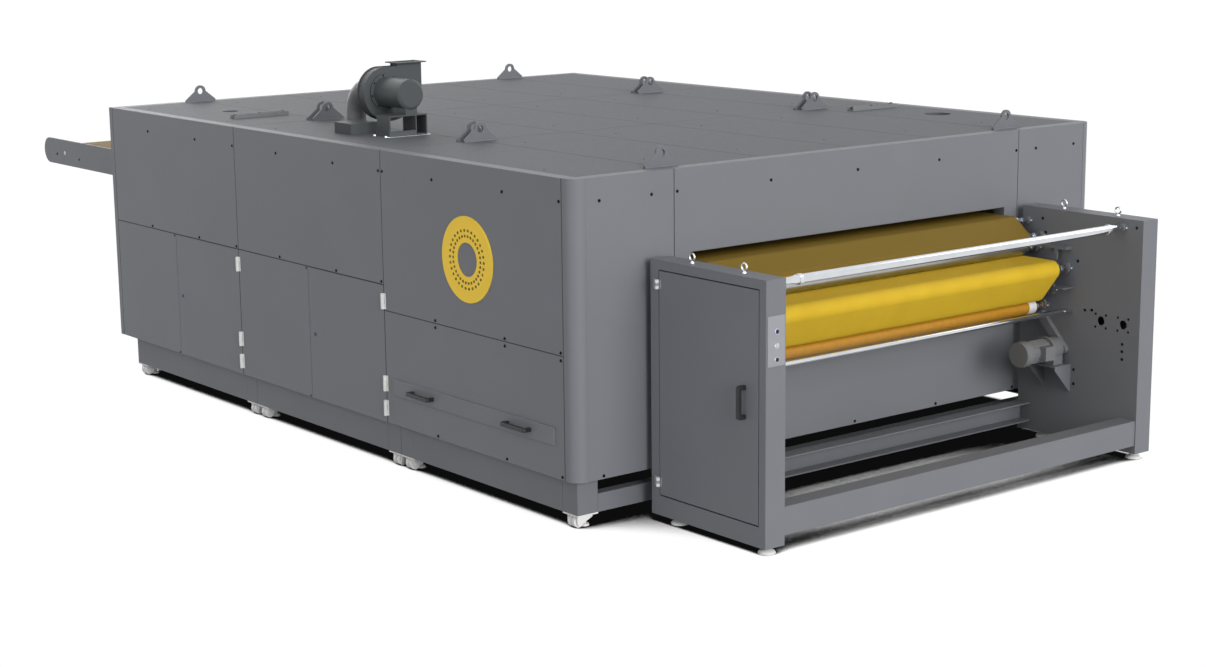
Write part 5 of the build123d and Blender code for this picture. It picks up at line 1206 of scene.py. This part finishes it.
class OVEN_OT_roller_ends(bpy.types.Operator):
    """Adds collars, hubs, caps and tapers to the ends of the rollers"""

    bl_idname = "oven.roller_ends"
    bl_label = "Roller ends"

    def execute(self, context):
        make_roller_ends()
        make_drive_caps()
        make_takeoff_ends()
        return {"FINISHED"}


# Screws of the out-feed unit and the in-feed table

FLANGE_THICKNESS = 6.0 * MM
FLANGE_MARGIN = 5.0 * MM
FLANGED_SHAFTS = {**SET_COLLARS, "takeoff_roller": 9.0}
BOLT_SHARE = 0.36
BOLT_HEIGHT = 3.0 * MM
UNIT_SCREWS = (
    (3.190, 0.502), (3.190, 0.470), (3.191, 0.436), (2.731, 1.000), (2.751, 0.940), (2.935, 0.833),
    (2.982, 0.623), (3.020, 0.628), (3.244, 1.014), (2.930, 0.348), (2.932, 0.284),
)
TABLE_SCREWS = ((-3.102, 0.945), (-2.805, 0.935), (-1.420, 0.985), (-1.420, 0.930))
PASS_HOLES = ((3.190, 0.587), (3.070, 0.587))
PASS_RING = 0.040
PASS_SCREWS = 4


def make_unit_screws(sizes):
    """Bolts of the bearing flanges, and button heads on the cabinet plates and the in-feed table."""
    near_y, far_y = (corner.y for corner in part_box("roller_bearings"))
    table_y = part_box("infeed_side_plates")[1].y
    radius = sizes.screw_head / 2

    def row(facing, size, height, y, spots, sides=14):
        return heads(facing, size, height, [(x, y, z) for x, z in spots], sides)

    flange = []
    for node, shaft_mm in FLANGED_SHAFTS.items():
        x, z = roller_circle(node)[0]
        reach = 2 * shaft_mm * MM + FLANGE_MARGIN
        flange += [(x - reach, z), (x + reach, z)]
    bolt = sizes.screw_head * BOLT_SHARE
    bolts = [
        row("+Y", bolt, BOLT_HEIGHT, near_y + FLANGE_THICKNESS, flange, 6),
        row("-Y", bolt, BOLT_HEIGHT, far_y - FLANGE_THICKNESS, flange, 6),
    ]
    make_piece("bearing_bolts", bolts, "zinc", sharp=20.0)
    ring = [spot for hole in PASS_HOLES for spot in ring_places(hole, PASS_RING, PASS_SCREWS, math.pi / 4)]
    screws = [
        row("-Y", radius, radius * 0.5, far_y, UNIT_SCREWS),
        row("+Y", radius, radius * 0.5, near_y, UNIT_SCREWS),
        row("-Y", radius * 0.8, radius * 0.4, far_y, ring),
        row("-Y", radius, radius * 0.5, -table_y, TABLE_SCREWS),
        row("+Y", radius, radius * 0.5, table_y, TABLE_SCREWS),
    ]
    make_piece("unit_screws", screws, "blackened")


class OVEN_OT_unit_screws(bpy.types.Operator):
    """Adds the bolts of the bearings, the cabinet plates and the in-feed table"""

    bl_idname = "oven.unit_screws"
    bl_label = "Unit screws"

    def execute(self, context):
        make_unit_screws(context.scene.oven_sizes)
        return {"FINISHED"}


# Blower and gearmotor

BLOWER_AXIS = (-1.093, 1.560)
MOTOR_COLLAR_FACE = 0.675
MOTOR_COLLAR_SCREWS = 8
MOTOR_COLLAR_RING = 0.075
MOTOR_SCREW_HEIGHT = 2.5 * MM
RAIL_WIDTH = 0.029
RAIL_THICKNESS = 3.0 * MM
RAIL_FROM_END = 0.061
ROOF_BOLTS = ((0.771, -1.222), (0.863, -1.222))
ROOF_BOLT_RADIUS = 8.0 * MM
ROOF_BOLT_HEIGHT = 6.0 * MM
GEAR_AXIS = (2.838, 0.435)
GRILLE_RINGS = (0.014, 0.024, 0.034, 0.044)
GRILLE_DEPTH = 1.6 * MM
GRILLE_WIRE = 1.5 * MM
SPOKE_WIRE = 1.3 * MM
GRILLE_SPOKES = 12
SPOKE_ENDS = (0.008, 0.028, 0.050)
TERMINAL_SCREWS = ((0.836, 0.410), (0.836, 0.460), (0.886, 0.410), (0.886, 0.460))
TERMINAL_LID_DEPTH = 2.0 * MM


def make_blower_fittings(sizes):
    """Screws round the motor's collar, and a bright base rail beside the stand with two roof bolts."""
    spots = ring_places(BLOWER_AXIS, MOTOR_COLLAR_RING, MOTOR_COLLAR_SCREWS, 0.2)
    places = [(MOTOR_COLLAR_FACE, y, z) for y, z in spots]
    screws = heads("+X", sizes.screw_head * BOLT_SHARE, MOTOR_SCREW_HEIGHT, places, 6)
    make_piece("blower_screws", [screws], "blackened", sharp=20.0)
    low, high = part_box("blower_stand")
    roof_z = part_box("corner_columns")[1].z
    rail_end = (high.x + RAIL_WIDTH, high.y, roof_z + RAIL_THICKNESS)
    rail = bar((high.x, low.y + RAIL_FROM_END, roof_z), rail_end)
    spots = [(x, y, roof_z) for x, y in ROOF_BOLTS]
    bolts = heads("+Z", ROOF_BOLT_RADIUS, ROOF_BOLT_HEIGHT, spots, 18)
    make_piece("blower_base_rail", [rail, bolts], "zinc", sharp=30.0)


def make_gearmotor_fittings():
    """The fan cowl's grille of rings and spokes, and the screws of the terminal box's lid."""
    x, z = GEAR_AXIS
    low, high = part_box("gearmotor")
    y = low.y + GRILLE_DEPTH
    shapes = [round_ring(x, y, z, radius, GRILLE_WIRE, 8) for radius in GRILLE_RINGS]
    for a in np.arange(GRILLE_SPOKES) * 2 * np.pi / GRILLE_SPOKES:
        spoke = [(x + reach * math.cos(a), y, z + reach * math.sin(a)) for reach in SPOKE_ENDS]
        shapes.append(swept(SPOKE_WIRE, spoke, 6))
    make_piece("gearmotor_grille", shapes, "motor_paint", sharp=50.0)
    corners = [(high.x - TERMINAL_LID_DEPTH, across, up) for across, up in TERMINAL_SCREWS]
    make_piece("terminal_box_screws", [heads("+X", 3 * MM, 1.8 * MM, corners, 8)], "zinc", sharp=30.0)


class OVEN_OT_drives(bpy.types.Operator):
    """Adds the small parts of the blower and the gearmotor"""

    bl_idname = "oven.drives"
    bl_label = "Blower and gearmotor"

    def execute(self, context):
        make_blower_fittings(context.scene.oven_sizes)
        make_gearmotor_fittings()
        return {"FINISHED"}


# Feet

FOOT_DOME = (
    (0.0, 0.2), (33.0, 0.2), (34.0, 1.5), (33.5, 5.0), (30.0, 10.5), (22.0, 14.5),
    (14.0, 16.0), (12.5, 17.5), (12.5, 22.8), (0.0, 22.8),
)
FOOT_INSET = 0.028


def make_unit_feet():
    """Levelling feet of the out-feed unit: a pale coated dome, with the frame's own nut above it."""
    spots = cabinet_spots("unit_feet", FOOT_INSET, FOOT_INSET)
    domes = [turned(in_mm(FOOT_DOME), 36, (x, y, 0.0)) for x, y in spots]
    make_piece("foot_domes", domes, "white_castor", sharp=40.0)


class OVEN_OT_feet(bpy.types.Operator):
    """Adds the pale domes of the out-feed unit's feet"""

    bl_idname = "oven.feet"
    bl_label = "Feet"

    def execute(self, context):
        make_unit_feet()
        return {"FINISHED"}


# Order of work

OPERATORS = (
    OVEN_OT_stage,
    OVEN_OT_finishes,
    OVEN_OT_belt,
    OVEN_OT_panel_screws,
    OVEN_OT_shade_strips,
    OVEN_OT_locks_and_hinges,
    OVEN_OT_disc_hole_shade,
    OVEN_OT_lug_welds,
    OVEN_OT_eye_bolts,
    OVEN_OT_controls,
    OVEN_OT_roller_ends,
    OVEN_OT_unit_screws,
    OVEN_OT_drives,
    OVEN_OT_feet,
)


class OVEN_PT_tools(bpy.types.Panel):
    """Lists the steps that dress the oven"""

    bl_idname = "OVEN_PT_tools"
    bl_label = "Conveyor oven"
    bl_space_type = "VIEW_3D"
    bl_region_type = "UI"
    bl_category = "Oven"

    def draw(self, context):
        for operator in OPERATORS:
            self.layout.operator(operator.bl_idname)
        for group in (context.scene.oven_sizes, context.scene.oven_colours):
            for name in group.__annotations__:
                self.layout.prop(group, name)


CLASSES = (OvenSizes, OvenColours, *OPERATORS, OVEN_PT_tools)


def register():
    for item in CLASSES:
        bpy.utils.register_class(item)
    bpy.types.Scene.oven_sizes = bpy.props.PointerProperty(type=OvenSizes)
    bpy.types.Scene.oven_colours = bpy.props.PointerProperty(type=OvenColours)


def unregister():
    del bpy.types.Scene.oven_sizes
    del bpy.types.Scene.oven_colours
    for item in reversed(CLASSES):
        bpy.utils.unregister_class(item)


def main():
    register()
    bpy.ops.oven.stage()
    bpy.ops.oven.finishes()
    bpy.ops.oven.belt()
    bpy.ops.oven.panel_screws()
    bpy.ops.oven.gaskets()
    bpy.ops.oven.locks_and_hinges()
    bpy.ops.oven.disc_backing()
    bpy.ops.oven.lug_welds()
    bpy.ops.oven.eye_bolts()
    bpy.ops.oven.controls()
    bpy.ops.oven.roller_ends()
    bpy.ops.oven.unit_screws()
    bpy.ops.oven.drives()
    bpy.ops.oven.feet()


if __name__ == "__main__":
    main()
